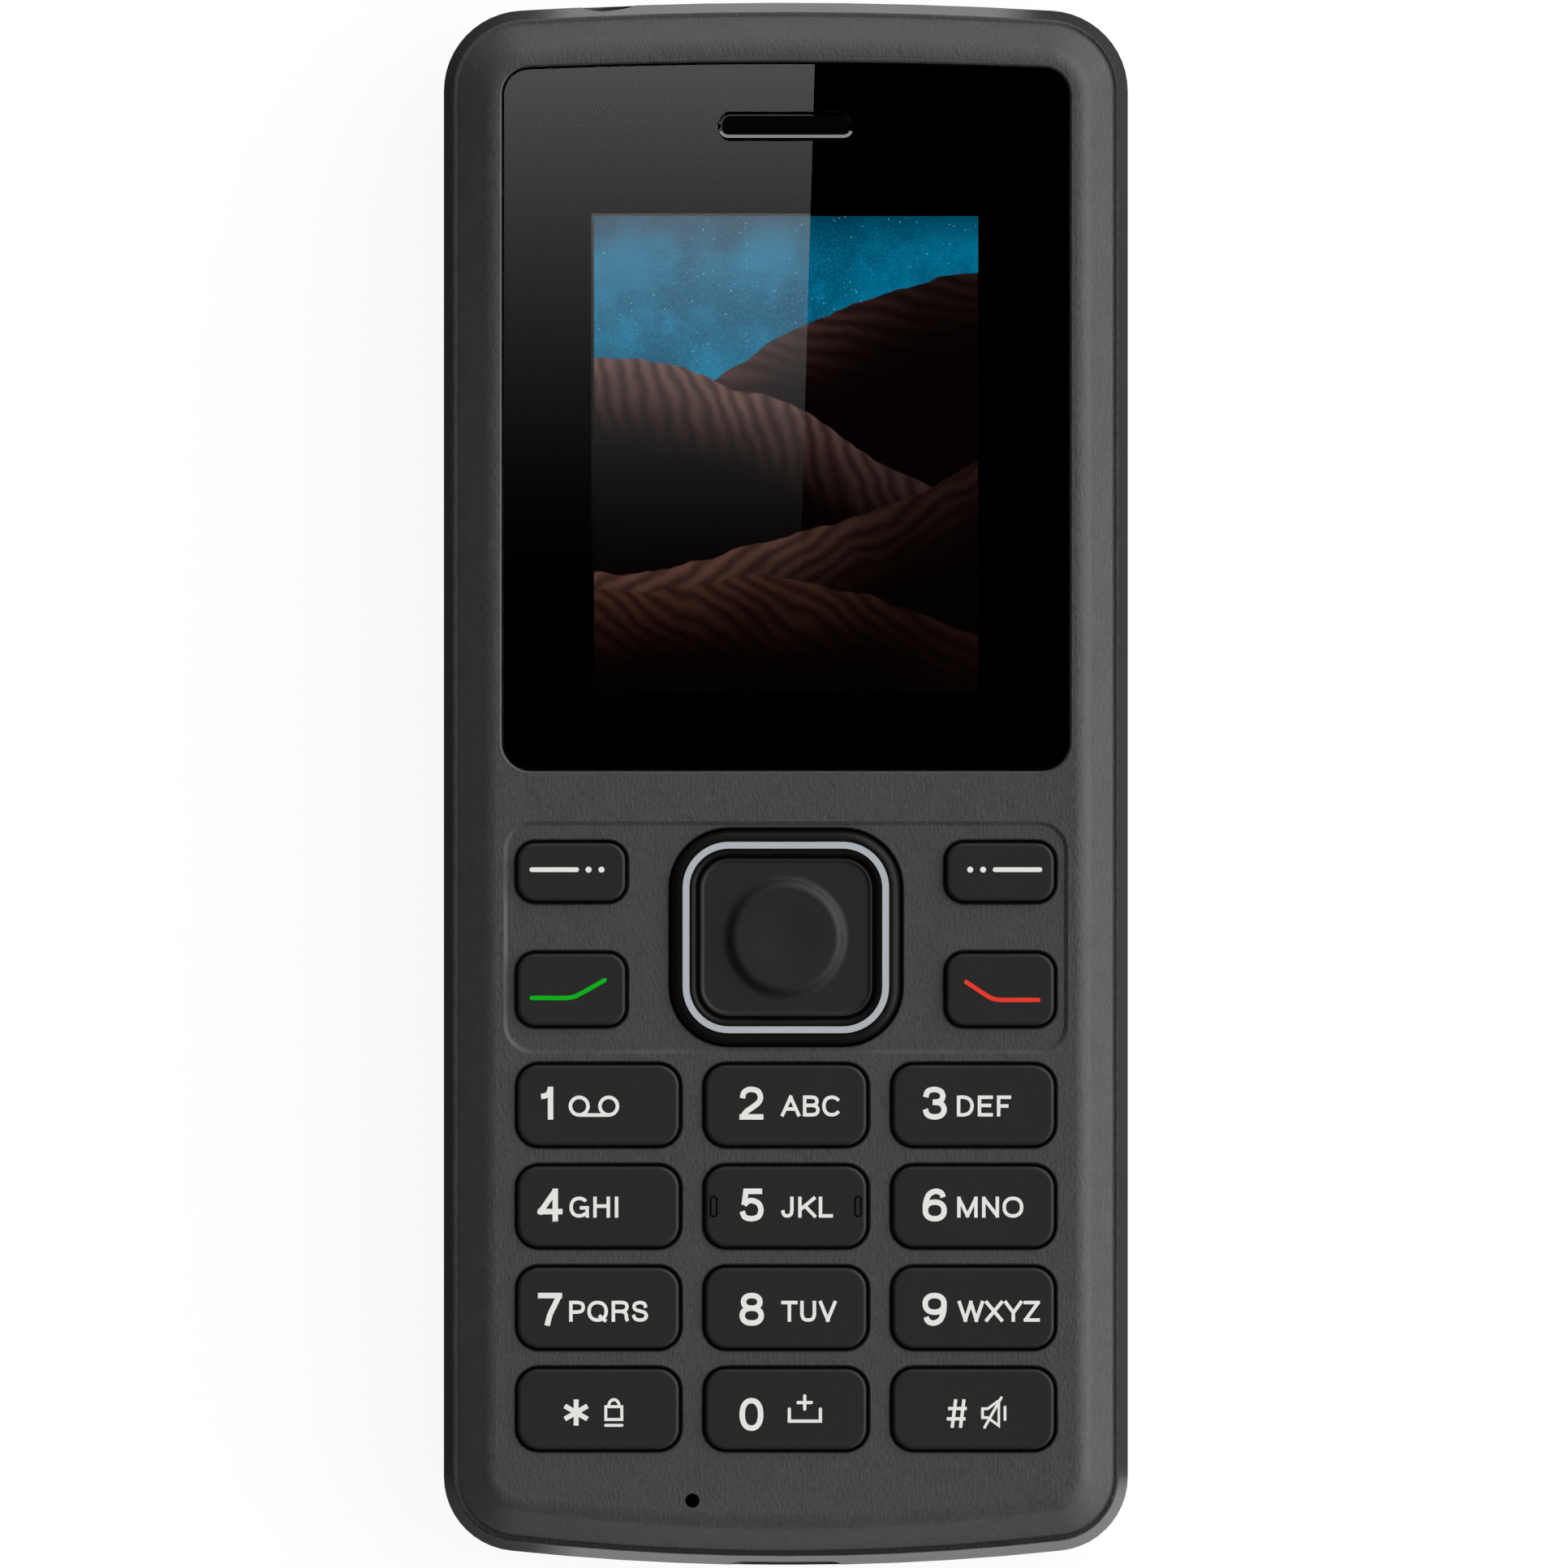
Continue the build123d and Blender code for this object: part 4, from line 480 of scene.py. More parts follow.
# strokes in a unit box: kind, ends that are pushed out (s, e), points or middle and radii
glyphs = {
    "0": [("oval", "", [(0.5, 0.5), (0.5, 0.5)])],
    "1": [("line", "se", [(1, 0), (1, 1)]), ("curve", "",
                                             [(0, 0.75), (0.4, 0.765), (0.78, 0.84), (0.98, 1.03)])],
    "2": [("curve", "", [(0.02, 0.68), (0.08, 0.87), (0.3, 0.985), (0.56, 1), (0.86, 0.93), (0.99, 0.73),
                         (0.9, 0.54), (0.6, 0.37), (0.24, 0.2), (0.05, 0.03)]),
          ("line", "se", [(0, 0), (1, 0)])],
    "3": [("curve", "", [(0.03, 0.72), (0.14, 0.93), (0.48, 1), (0.82, 0.93), (0.93, 0.75), (0.8, 0.58),
                         (0.4, 0.535)]),
          ("curve", "", [(0.4, 0.535), (0.82, 0.49), (1, 0.28), (0.86, 0.07), (0.5, 0), (0.14, 0.07),
                         (0, 0.28)])],
    "4": [("line", "se", [(0.76, 0), (0.76, 1)]), ("line", "e", [(0.74, 1), (0, 0.26)]),
          ("line", "se", [(0, 0.26), (1, 0.26)])],
    "5": [("line", "s", [(0.92, 1), (0.2, 1), (0.1, 0.5)]),
          ("curve", "", [(0.1, 0.5), (0.3, 0.63), (0.56, 0.66), (0.88, 0.55), (1, 0.32), (0.87, 0.08),
                         (0.48, 0), (0.13, 0.07), (0, 0.27)])],
    "6": [("curve", "", [(0.95, 0.78), (0.84, 0.94), (0.54, 1), (0.2, 0.88), (0.03, 0.58), (0.01, 0.32)]),
          ("oval", "", [(0.505, 0.302), (0.495, 0.302)])],
    "7": [("line", "se", [(0, 1), (1, 1)]), ("curve", "e", [(1, 1), (0.72, 0.62), (0.5, 0.3), (0.38, 0)])],
    "8": [("oval", "", [(0.5, 0.77), (0.43, 0.23)]), ("oval", "", [(0.5, 0.27), (0.5, 0.27)])],
    "9": [("curve", "", [(0.05, 0.22), (0.16, 0.06), (0.46, 0), (0.8, 0.12), (0.97, 0.42), (0.99, 0.68)]),
          ("oval", "", [(0.495, 0.698), (0.495, 0.302)])],
    "A": [("line", "se", [(0, 0), (0.5, 1)]), ("line", "se", [(1, 0), (0.5, 1)]),
          ("line", "", [(0.17, 0.33), (0.83, 0.33)])],
    "B": [stem, ("curve", "", [(0, 1), (0.5, 1), (0.82, 0.95), (0.92, 0.77), (0.82, 0.59), (0.5, 0.535),
                               (0, 0.535)]),
          ("curve", "", [(0, 0.535), (0.55, 0.535), (0.88, 0.47), (1, 0.27), (0.88, 0.06), (0.55, 0),
                         (0, 0)])],
    "C": [("arc", "", [(0.5, 0.5), (0.5, 0.5), (34, 326)])],
    "D": [stem, ("curve", "", [(0, 1), (0.42, 1), (0.82, 0.86), (1, 0.5), (0.82, 0.14), (0.42, 0), (0, 0)])],
    "E": [stem, ("line", "e", [(0, 1), (1, 1)]), ("line", "", [(0, 0.53), (1, 0.53)]),
          ("line", "e", [(0, 0), (1, 0)])],
    "F": [stem, ("line", "e", [(0, 1), (1, 1)]), ("line", "", [(0, 0.5), (0.92, 0.5)])],
    "G": [("arc", "", [(0.5, 0.5), (0.5, 0.5), (38, 322)]), ("line", "e", [(0.54, 0.46), (1, 0.46), (1, 0)])],
    "H": [stem, ("line", "se", [(1, 0), (1, 1)]), ("line", "", [(0, 0.56), (1, 0.56)])],
    "I": [("line", "se", [(0.5, 0), (0.5, 1)])],
    "J": [("curve", "s", [(1, 1), (1, 0.6), (0.99, 0.26), (0.84, 0.06), (0.5, 0), (0.15, 0.07), (0, 0.32)])],
    "K": [stem, ("line", "s", [(0.96, 1), (0.03, 0.36)]), ("line", "e", [(0.34, 0.57), (1, 0)])],
    "L": [("line", "se", [(0, 1), (0, 0), (1, 0)])],
    "M": [stem, ("line", "se", [(1, 0), (1, 1)]), ("line", "e", [(0, 1), (0.5, 0.02)]),
          ("line", "e", [(1, 1), (0.5, 0.02)])],
    "N": [stem, ("line", "se", [(1, 0), (1, 1)]), ("line", "", [(0, 1), (1, 0)])],
    "O": [("oval", "", [(0.5, 0.5), (0.5, 0.5)])],
    "P": [stem, ("curve", "", [(0, 1), (0.55, 1), (0.9, 0.93), (1, 0.73), (0.9, 0.53), (0.55, 0.46),
                               (0, 0.46)])],
    "Q": [("oval", "", [(0.5, 0.5), (0.5, 0.5)]), ("line", "", [(0.58, 0.26), (1.0, -0.08)])],
    "R": [stem, ("curve", "", [(0, 1), (0.6, 1), (0.88, 0.94), (0.97, 0.76), (0.87, 0.57), (0.6, 0.5),
                               (0, 0.5)]),
          ("curve", "", [(0.5, 0.5), (0.8, 0.44), (0.92, 0.28), (0.94, 0.1), (1.02, -0.06)])],
    "S": [("curve", "", [(0.93, 0.7), (0.83, 0.92), (0.5, 1), (0.15, 0.92), (0.05, 0.75), (0.18, 0.59),
                         (0.5, 0.515), (0.84, 0.43), (0.97, 0.26), (0.86, 0.07), (0.5, 0), (0.14, 0.08),
                         (0, 0.3)])],
    "T": [("line", "se", [(0, 1), (1, 1)]), ("line", "s", [(0.5, 0), (0.5, 1)])],
    "U": [("curve", "se", [(0, 1), (0, 0.6), (0.01, 0.3), (0.14, 0.07), (0.5, 0), (0.86, 0.07), (0.99, 0.3),
                           (1, 0.6), (1, 1)])],
    "V": [("line", "se", [(0, 1), (0.5, 0)]), ("line", "se", [(1, 1), (0.5, 0)])],
    "W": [("line", "se", [(0, 1), (0.26, 0)]), ("line", "se", [(0.5, 1), (0.26, 0)]),
          ("line", "se", [(0.5, 1), (0.74, 0)]), ("line", "se", [(1, 1), (0.74, 0)])],
    "X": [("line", "se", [(0, 0), (1, 1)]), ("line", "se", [(0, 1), (1, 0)])],
    "Y": [("line", "s", [(0, 1), (0.5, 0.42)]), ("line", "s", [(1, 1), (0.5, 0.42)]),
          ("line", "e", [(0.5, 0.46), (0.5, 0)])],
    "Z": [("line", "se", [(0, 1), (1, 1)]), ("line", "", [(1, 1), (0, 0)]), ("line", "se", [(0, 0), (1, 0)])],
}


def smoothPath(points, steps=6):
    ends = [points[0]] + list(points) + [points[-1]]
    path = []
    for a, b, c, d in zip(ends, ends[1:], ends[2:], ends[3:]):
        for i in range(steps):
            t = i / steps
            path.append(tuple(
                (2 * q + (r - p) * t + (2 * p - 5 * q + 4 * r - s) * t * t
                 + (3 * q - p - 3 * r + s) * t ** 3) / 2
                for p, q, r, s in zip(a, b, c, d)))
    return path + [tuple(points[-1])]


def ovalPath(middle, radii, start=0, end=360, steps=48, power=2.25):
    path = []
    for i in range(steps + (end - start != 360)):
        angle = math.radians(start + (end - start) * i / steps)
        c, s = math.cos(angle), math.sin(angle)
        path.append((middle[0] + radii[0] * math.copysign(abs(c) ** (2 / power), c),
                     middle[1] + radii[1] * math.copysign(abs(s) ** (2 / power), s)))
    return path


def pushEnds(path, ends, reach):
    path = [Vector(point) for point in path]
    if "s" in ends:
        path[0] += (path[0] - path[1]).normalized() * reach
    if "e" in ends:
        path[-1] += (path[-1] - path[-2]).normalized() * reach
    return path


def typeset(text, left, width, baseline, height, weight):
    # strokes of one word, as (path, stroke width, closed, round ends)
    stroke = weight * height
    spans = letterSpans if text[0] in letterSpans else {text: (0, 1, 1)}
    start = spans[text[0]][0]
    total = sum(spans[c][2] for c in text[:-1]) + spans[text[-1]][1] - start
    scale = width / total
    strokes, pen = [], -start
    for letter in text:
        low, high, advance = spans[letter]
        boxLeft = left + (pen + low) * scale + stroke / 2
        boxWidth = max((high - low) * scale - stroke, 0.0)
        for kind, ends, points in glyphs[letter]:
            if kind == "curve":
                path = smoothPath(points)
            elif kind == "line":
                path = points
            else:
                path = ovalPath(*points[:2], *(points[2] if kind == "arc" else (0, 360)))
            path = [(boxLeft + x * boxWidth, baseline + stroke / 2 + y * (height - stroke)) for x, y in path]
            strokes.append((pushEnds(path, ends, stroke / 2), stroke, kind == "oval", False))
        pen += advance
    return strokes


def addRibbon(build, path, width, low, high, closed):
    # flat line of even width with mitred corners, as a thin closed solid
    path = [Vector(point[:2]) for point in path]
    count = len(path)
    rings = []
    for i, point in enumerate(path):
        ways = []
        if i or closed:
            ways.append((point - path[i - 1]).normalized())
        if i < count - 1 or closed:
            ways.append((path[(i + 1) % count] - point).normalized())
        across = Vector((-sum(w.y for w in ways), sum(w.x for w in ways))).normalized()
        square = Vector((-ways[0].y, ways[0].x))
        reach = across * width / 2 / max(0.5, across.dot(square))
        sides = (point + reach, point - reach)
        rings.append([build.verts.new((side.x * mm, side.y * mm, z)) for side, z in
                      ((sides[0], low), (sides[0], high), (sides[1], high), (sides[1], low))])
    for i in range(count if closed else count - 1):
        first, second = rings[i], rings[(i + 1) % count]
        for j in range(4):
            build.faces.new((first[j], first[(j + 1) % 4], second[(j + 1) % 4], second[j]))
    if not closed:
        build.faces.new(rings[0][::-1])
        build.faces.new(rings[-1])


def addDisc(build, middle, radius, low, high, steps=20):
    rims = []
    for z in (low, high):
        rims.append([build.verts.new(((middle[0] + radius * math.cos(2 * math.pi * i / steps)) * mm,
                                      (middle[1] + radius * math.sin(2 * math.pi * i / steps)) * mm,
                                      z)) for i in range(steps)])
    build.faces.new(rims[0][::-1])
    build.faces.new(rims[1])
    for i in range(steps):
        j = (i + 1) % steps
        build.faces.new((rims[0][i], rims[0][j], rims[1][j], rims[1][i]))


def printLines(name, strokes, finish, body, face, side=1):
    # each stroke a hair higher than the last, so that none lie in one plane
    # side -1 prints on a face that is seen from below
    look = legendLook
    build = bmesh.new()
    for place, (path, width, closed, roundEnds) in enumerate(strokes):
        low = face - side * look["sink"] * mm
        high = face + side * (look["thick"] + place * look["step"]) * mm
        if len(path) > 1:
            addRibbon(build, path, width, low, high, closed)
        if roundEnds:
            for end in (path[0], path[-1])[:len(path)]:
                addDisc(build, end, width / 2, low, high - side * 0.5 * look["step"] * mm)
    bmesh.ops.recalc_face_normals(build, faces=build.faces[:])
    mesh = bpy.data.meshes.new(name)
    build.to_mesh(mesh)
    build.free()
    return keep(name, mesh, finish, body)


photo = {"middle": (968, 966), "pixelsPerMm": 16.86, "frame": 1932}


def fromPhoto(*points):
    # photo pixels to millimetres on the phone
    middleX, middleY = photo["middle"]
    return [((x - middleX) / photo["pixelsPerMm"], (middleY - y) / photo["pixelsPerMm"]) for x, y in points]


def lines(width, *paths, roundEnds=True, closed=False):
    return [(path, width, closed, roundEnds) for path in paths]


# strokes of the icons in photo pixels, widths and radii in millimetres
iconLook = {
    "reels": [(713.8, 1362.3), (750.1, 1362.3)], "reelRadius": 0.64,
    "tape": [(713.8, 1373.2), (750.1, 1373.2)], "star": (710, 1739.2), "starReach": 0.955, "starWidth": 0.36,
    "lockBody": [(746.5, 1732), (766.2, 1732), (766.2, 1747.8), (746.5, 1747.8)],
    "shackle": (756.5, 1730.5), "shackleRadii": (0.37, 0.42), "lockFoot": [(746.3, 1755), (766.4, 1755)],
    "space": [[(972.3, 1735), (972.3, 1749.8), (1010.5, 1749.8), (1010.5, 1735)],
              [(991.2, 1718.8), (991.2, 1735)], [(983, 1727), (999.4, 1727)]],
    "hash": [[(1177, 1723), (1172.6, 1758)], [(1187.2, 1723), (1182.8, 1758)],
             [(1167.6, 1734.3), (1190.6, 1734.3)], [(1166, 1747), (1189, 1747)]],
    "horn": [(1210, 1734.5), (1216.5, 1734.5), (1230, 1724.5), (1230, 1755.5), (1216.5, 1745.5),
             (1210, 1745.5)],
    "hornMarks": [[(1237.6, 1732.5), (1237.6, 1748)], [(1233, 1721), (1212.5, 1757.5)]],
    "spaceWeight": 1.1, "hashWidth": 0.245, "hornWidth": 0.2,
    "softBar": [(655.5, 1071.4), (710.6, 1071.4)], "softDots": [(725.3, 1071.4), (741.2, 1071.4)],
    "call": [(655.4, 1229.2), (675, 1229.2), (697, 1229.2), (707.5, 1227.6), (717, 1223.2), (731, 1215.3),
             (745, 1207.4)],
    "end": [(1190, 1209.6), (1202, 1217.6), (1214, 1225.6), (1222, 1229.8), (1232, 1231.6), (1255, 1231.6),
            (1278.6, 1231.6)],
}


def makeWords(look, face):
    for key, (digit, left, width, base, letters, left2, width2, base2) in look["words"].items():
        strokes = typeset(digit, left, width, base, look["digitHeight"], look["weight"])
        if letters:
            strokes += typeset(letters, left2, width2, base2, look["letterHeight"], look["weight"])
        printLines("legend_" + key, strokes, finishes["legend"], key, face)


def makeIcons(look, icons, face):
    white, icon, small = finishes["legend"], look["icon"], look["small"]
    radii = (icons["reelRadius"], icons["reelRadius"])
    voicemail = [(ovalPath(reel, radii, power=2), icon, True, False) for reel in fromPhoto(*icons["reels"])]
    voicemail += lines(icon, fromPhoto(*icons["tape"]), roundEnds=False)
    printLines("legend_voicemail", voicemail, white, "key_1", face)
    centre = Vector(fromPhoto(icons["star"])[0])
    arms = []
    for angle in (90, 30, 150):
        way = Vector((math.cos(math.radians(angle)), math.sin(math.radians(angle)))) * icons["starReach"]
        arms.append([centre - way, centre + way])
    printLines("legend_star", lines(icons["starWidth"], *arms, roundEnds=False), white, "key_star", face)
    lock = lines(small, fromPhoto(*icons["lockBody"]), roundEnds=False, closed=True)
    shackle = ovalPath(fromPhoto(icons["shackle"])[0], icons["shackleRadii"], 0, 180, 16, 2)
    lock += lines(small, shackle, roundEnds=False)
    lock += lines(small, fromPhoto(*icons["lockFoot"]))
    printLines("legend_lock", lock, white, "key_star", face)
    space = lines(small * icons["spaceWeight"], *[fromPhoto(*path) for path in icons["space"]])
    printLines("legend_space", space, white, "key_0", face)
    hashSign = lines(icons["hashWidth"], *[fromPhoto(*path) for path in icons["hash"]], roundEnds=False)
    printLines("legend_hash", hashSign, white, "key_hash", face)
    mute = lines(icons["hornWidth"], fromPhoto(*icons["horn"]), roundEnds=False, closed=True)
    mute += lines(icons["hornWidth"], *[fromPhoto(*path) for path in icons["hornMarks"]])
    printLines("legend_mute", mute, white, "key_hash", face)
    for name, side in (("left_soft_key", 1), ("right_soft_key", -1)):
        bar = [(side * x, y) for x, y in fromPhoto(*icons["softBar"])]
        dots = [[(side * x, y)] for x, y in fromPhoto(*icons["softDots"])]
        printLines("legend_" + name, lines(look["bar"], bar) + lines(2 * look["dot"], *dots), white, name,
                   face)
    for name, key, ink in (("call", "call_key", "callInk"), ("end", "end_key", "endInk")):
        curve = smoothPath(fromPhoto(*icons[name]))
        printLines("legend_" + name, lines(look["callLine"], curve), finishes[ink], key, face)


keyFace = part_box("key_1")[1].z
makeWords(legendLook, keyFace)
makeIcons(legendLook, iconLook, keyFace)

# painted shade: near-black rings printed in the bottoms of the grooves round the two raised bars of the
# middle key
grooveLook = {"x": 5.25, "y": -30.87, "halfWidth": 0.215, "halfLength": 0.735, "width": 0.2, "below": 0.11}


def paintGrooveShade(look):
    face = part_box("key_1")[1].z - look["below"] * mm
    radii = (look["halfWidth"], look["halfLength"])
    loops = [ovalPath((side * look["x"], look["y"]), radii, steps=40, power=6) for side in (-1, 1)]
    shade = lines(look["width"], *loops, roundEnds=False, closed=True)
    printLines("groove_shade", shade, finishes["mesh"], "key_5", face)


paintGrooveShade(grooveLook)
print("legends printed")


# Geometry Nodes helpers

class Grower:
    # builds a Geometry Nodes tree with named inputs and turns its result into a plain mesh
    def __init__(self, name):
        self.tree = bpy.data.node_groups.new(name, "GeometryNodeTree")
        self.tree.interface.new_socket("Geometry", in_out="OUTPUT", socket_type="NodeSocketGeometry")
        self.start = self.tree.nodes.new("NodeGroupInput")
        self.end = self.tree.nodes.new("NodeGroupOutput")
        self.values = {}

    def size(self, name, value, kind="NodeSocketFloat"):
        socket = self.tree.interface.new_socket(name, in_out="INPUT", socket_type=kind)
        self.values[socket.identifier] = value
        return self.start.outputs[name]

    def add(self, kind, settings=None, **links):
        node = self.tree.nodes.new(kind)
        for key, value in (settings or {}).items():
            setattr(node, key, value)
        for key, value in links.items():
            spot = socketOf(node, key)
            if isinstance(value, bpy.types.NodeSocket):
                self.tree.links.new(value, spot)
            else:
                spot.default_value = value
        return node

    def grow(self, name, geometry, finish, body):
        real = self.add("GeometryNodeRealizeInstances", Geometry=geometry)
        dressed = self.add("GeometryNodeSetMaterial", Geometry=real.outputs[0])
        dressed.inputs["Material"].default_value = finish
        self.tree.links.new(dressed.outputs[0], self.end.inputs[0])
        holder = bpy.data.objects.new(name, bpy.data.meshes.new(name))
        bpy.context.scene.collection.objects.link(holder)
        modifier = holder.modifiers.new("Grow", "NODES")
        modifier.node_group = self.tree
        for identifier, value in self.values.items():
            modifier[identifier] = value
        mesh = meshOf(holder)
        return keep(name, mesh, finish, body)


wovenMesh = {
    "pitch": 0.19, "wire": 0.030, "lap": 0.8, "earMargin": (0.35, 0.12), "earRise": 0.06,
    "speakerLow": (5.2, -46.0), "speakerHigh": (14.8, -38.0), "speakerZ": 2.36,
}


def growMesh(name, low, high, z, body, sizes, finish):
    # crossed wires over a rectangle, in millimetres
    g = Grower(name)
    width, length = high[0] - low[0], high[1] - low[1]
    pitch = g.size("Pitch", sizes["pitch"] * mm)
    wire = g.size("Wire radius", sizes["wire"] * mm)
    sides = []
    for across in (True, False):
        reach, run = (width, length) if across else (length, width)
        count = max(2, int(run / sizes["pitch"]))
        lap = sizes["lap"] if across else -sizes["lap"]
        end = (reach * mm, 0, 0) if across else (0, reach * mm, 0)
        step = g.add("ShaderNodeCombineXYZ", **({"Y": pitch} if across else {"X": pitch}))
        line = g.add("GeometryNodeMeshLine", {"mode": "OFFSET"}, Count=count, Offset=step.outputs[0],
                     Start_Location=(low[0] * mm, low[1] * mm, z * mm + sizes["wire"] * mm * lap))
        stick = g.add("GeometryNodeCurvePrimitiveLine", Start=(0, 0, 0), End=end)
        ring = g.add("GeometryNodeCurvePrimitiveCircle", Resolution=6, Radius=wire)
        tube = g.add("GeometryNodeCurveToMesh", Curve=stick.outputs[0], Profile_Curve=ring.outputs[0])
        spread = g.add("GeometryNodeInstanceOnPoints", Points=line.outputs[0], Instance=tube.outputs[0])
        sides.append(spread.outputs[0])
    both = g.add("GeometryNodeJoinGeometry")
    for side in sides:
        g.tree.links.new(side, both.inputs[0])
    return g.grow(name, both.outputs[0], finish, body)


def boxMm(node):
    low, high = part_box(node)
    return [c / mm for c in low], [c / mm for c in high]


def weaveMeshes(look):
    low, high = boxMm("earpiece_mesh")
    side, end = look["earMargin"]
    growMesh("earpiece_weave", (low[0] + side, low[1] + end), (high[0] - side, high[1] - end),
             high[2] + look["earRise"], "phone", look, finishes["mesh"])
    growMesh("speaker_weave", look["speakerLow"], look["speakerHigh"], look["speakerZ"], "phone", look,
             finishes["mesh"])


# painted highlight along the earpiece slot, in millimetres
slotLook = {"width": 0.22, "reach": 4.16, "endWidth": 0.60, "endHeight": 0.45, "y": 47.27}


def paintSlotHighlight(look):
    # painted highlight: a light grey printed line along the lower side of the earpiece slot, where its cut
    # edge would catch the light
    radii = (look["endWidth"], look["endHeight"])
    middle = look["y"] + look["endHeight"]
    edge = ovalPath((-look["reach"], middle), radii, 190, 270, 10, 2)
    edge += ovalPath((look["reach"], middle), radii, 270, 350, 10, 2)
    printLines("slot_edge", lines(look["width"], edge, roundEnds=False), finishes["slotEdge"], "phone",
               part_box("display_lens")[1].z)


weaveMeshes(wovenMesh)
paintSlotHighlight(slotLook)
print("earpiece and loudspeaker meshes woven")


# contacts, pins and optics

contactLook = {
    # a spring's width, length, rise and thickness
    "simSpring": (0.9, 2.4, 0.45, 0.08), "simPitch": 2.54, "simRows": (-2.6, 1.8), "simCount": 3,
    "cardSpring": (0.6, 3.0, 0.45, 0.08), "cardPitch": 1.1, "cardReach": 3.85, "cardCount": 8,
    "springSink": 0.25,
    # a pin's width, length and thickness
    "usbPin": (0.28, 3.0, 0.05), "usbPitch": 0.65, "usbFirst": -1.3, "usbCount": 5, "usbInset": 2.7,
    "tongueRise": 0.3, "pinRise": 0.02,
}


def growRows(name, shape, size, rows, finish, body):
    # the same small contact in rows; a row is (first x, y, z, count, pitch) in millimetres
    g = Grower(name)
    width = g.size("Width", size[0] * mm)
    length = g.size("Length", size[1] * mm)
    if shape == "spring":
        rise = g.size("Rise", -2 * size[2] * mm)
        thick = g.size("Thickness", size[3] * mm)
        half = g.add("ShaderNodeMath", {"operation": "MULTIPLY"}, n0=length, n1=0.5).outputs[0]
        back = g.add("ShaderNodeMath", {"operation": "MULTIPLY"}, n0=length, n1=-0.5).outputs[0]
        ends = [g.add("ShaderNodeCombineXYZ", Y=back).outputs[0],
                g.add("ShaderNodeCombineXYZ", Z=rise).outputs[0],
                g.add("ShaderNodeCombineXYZ", Y=half).outputs[0]]
        bend = g.add("GeometryNodeCurveQuadraticBezier", Resolution=12, Start=ends[0], Middle=ends[1],
                     End=ends[2])
        section = g.add("GeometryNodeCurvePrimitiveQuadrilateral", Width=width, Height=thick)
        contact = g.add("GeometryNodeCurveToMesh", Curve=bend.outputs[0], Profile_Curve=section.outputs[0])
        contact.inputs["Fill Caps"].default_value = True
    else:
        thick = g.size("Thickness", size[2] * mm)
        box = g.add("ShaderNodeCombineXYZ", X=width, Y=length, Z=thick)
        contact = g.add("GeometryNodeMeshCube", Size=box.outputs[0])
    both = g.add("GeometryNodeJoinGeometry")
    for x, y, z, count, pitch in rows:
        line = g.add("GeometryNodeMeshLine", {"mode": "OFFSET"}, Count=count,
                     Start_Location=(x * mm, y * mm, z * mm), Offset=(pitch * mm, 0, 0))
        g.tree.links.new(line.outputs[0], both.inputs[0])
    spread = g.add("GeometryNodeInstanceOnPoints", Points=both.outputs[0], Instance=contact.outputs[0])
    return g.grow(name, spread.outputs[0], finish, body)


def makeContacts(look):
    gold = finishes["gold"]
    pitch = look["simPitch"]
    for name in ("left_sim_socket", "right_sim_socket"):
        low, high = boxMm(name)
        middle = (low[0] + high[0]) / 2
        y = (low[1] + high[1]) / 2
        z = high[2] - look["springSink"]
        rows = [(middle - pitch, y + step, z, look["simCount"], pitch) for step in look["simRows"]]
        growRows(name + "_springs", "spring", look["simSpring"], rows, gold, "phone")
    low, high = boxMm("card_socket")
    row = ((low[0] + high[0]) / 2 - look["cardReach"], (low[1] + high[1]) / 2, high[2] - look["springSink"],
           look["cardCount"], look["cardPitch"])
    growRows("card_springs", "spring", look["cardSpring"], [row], gold, "phone")
    low, high = boxMm("usb_socket")
    tongueTop = (low[2] + high[2]) / 2 + look["tongueRise"]
    row = (look["usbFirst"], low[1] + look["usbInset"], tongueTop + look["pinRise"], look["usbCount"],
           look["usbPitch"])
    growRows("usb_pins", "box", look["usbPin"], [row], gold, "phone")


opticsLook = {
    "cameraX": -3.8, "y": 42.0, "barrel": 2.3, "aperture": 1.15, "ringWidth": 0.36, "stopLip": 0.3,
    # radius from the barrel's edge, height from the back of the module
    "ring": [(0.0, -0.02), (-0.18, -0.16), (-0.36, -0.02), (-0.18, 0.05)],
    "domeAngles": (0.5, 10, 20, 30, 40, 50), "domeHeight": 0.5, "domeStart": 0.02,
}


def makeOptics(look):
    # seen through the window in the back: barrel ring, stop and front element
    low = boxMm("camera_module")[0][2]
    centre = (look["cameraX"], look["y"])
    outer, hole = look["barrel"], look["aperture"]
    inner = outer - look["ringWidth"]
    turned("camera_ring", [(outer + r, low + z) for r, z in look["ring"]], centre, finishes["tin"], "phone")
    stop = [(inner, low - 0.03), (hole + look["stopLip"], low - 0.10), (hole, low - 0.04), (hole, low + 0.03),
            (inner, low + 0.03)]
    turned("camera_stop", stop, centre, finishes["innerBlack"], "phone")
    edge = math.radians(look["domeAngles"][-1])
    dome = []
    for degrees in look["domeAngles"]:
        angle = math.radians(degrees)
        rise = look["domeHeight"] * (math.cos(angle) - math.cos(edge))
        dome.append((hole * math.sin(angle) / math.sin(edge), low - look["domeStart"] - rise))
    dome += [(hole * 0.9, low + 0.01), (0.01, low + 0.01)]
    turned("camera_element", dome, centre, finishes["cameraElement"], "phone")


markLook = {"plusX": 5.4, "minusX": 10.6, "arm": 0.7, "rise": 1.3, "width": 0.28}


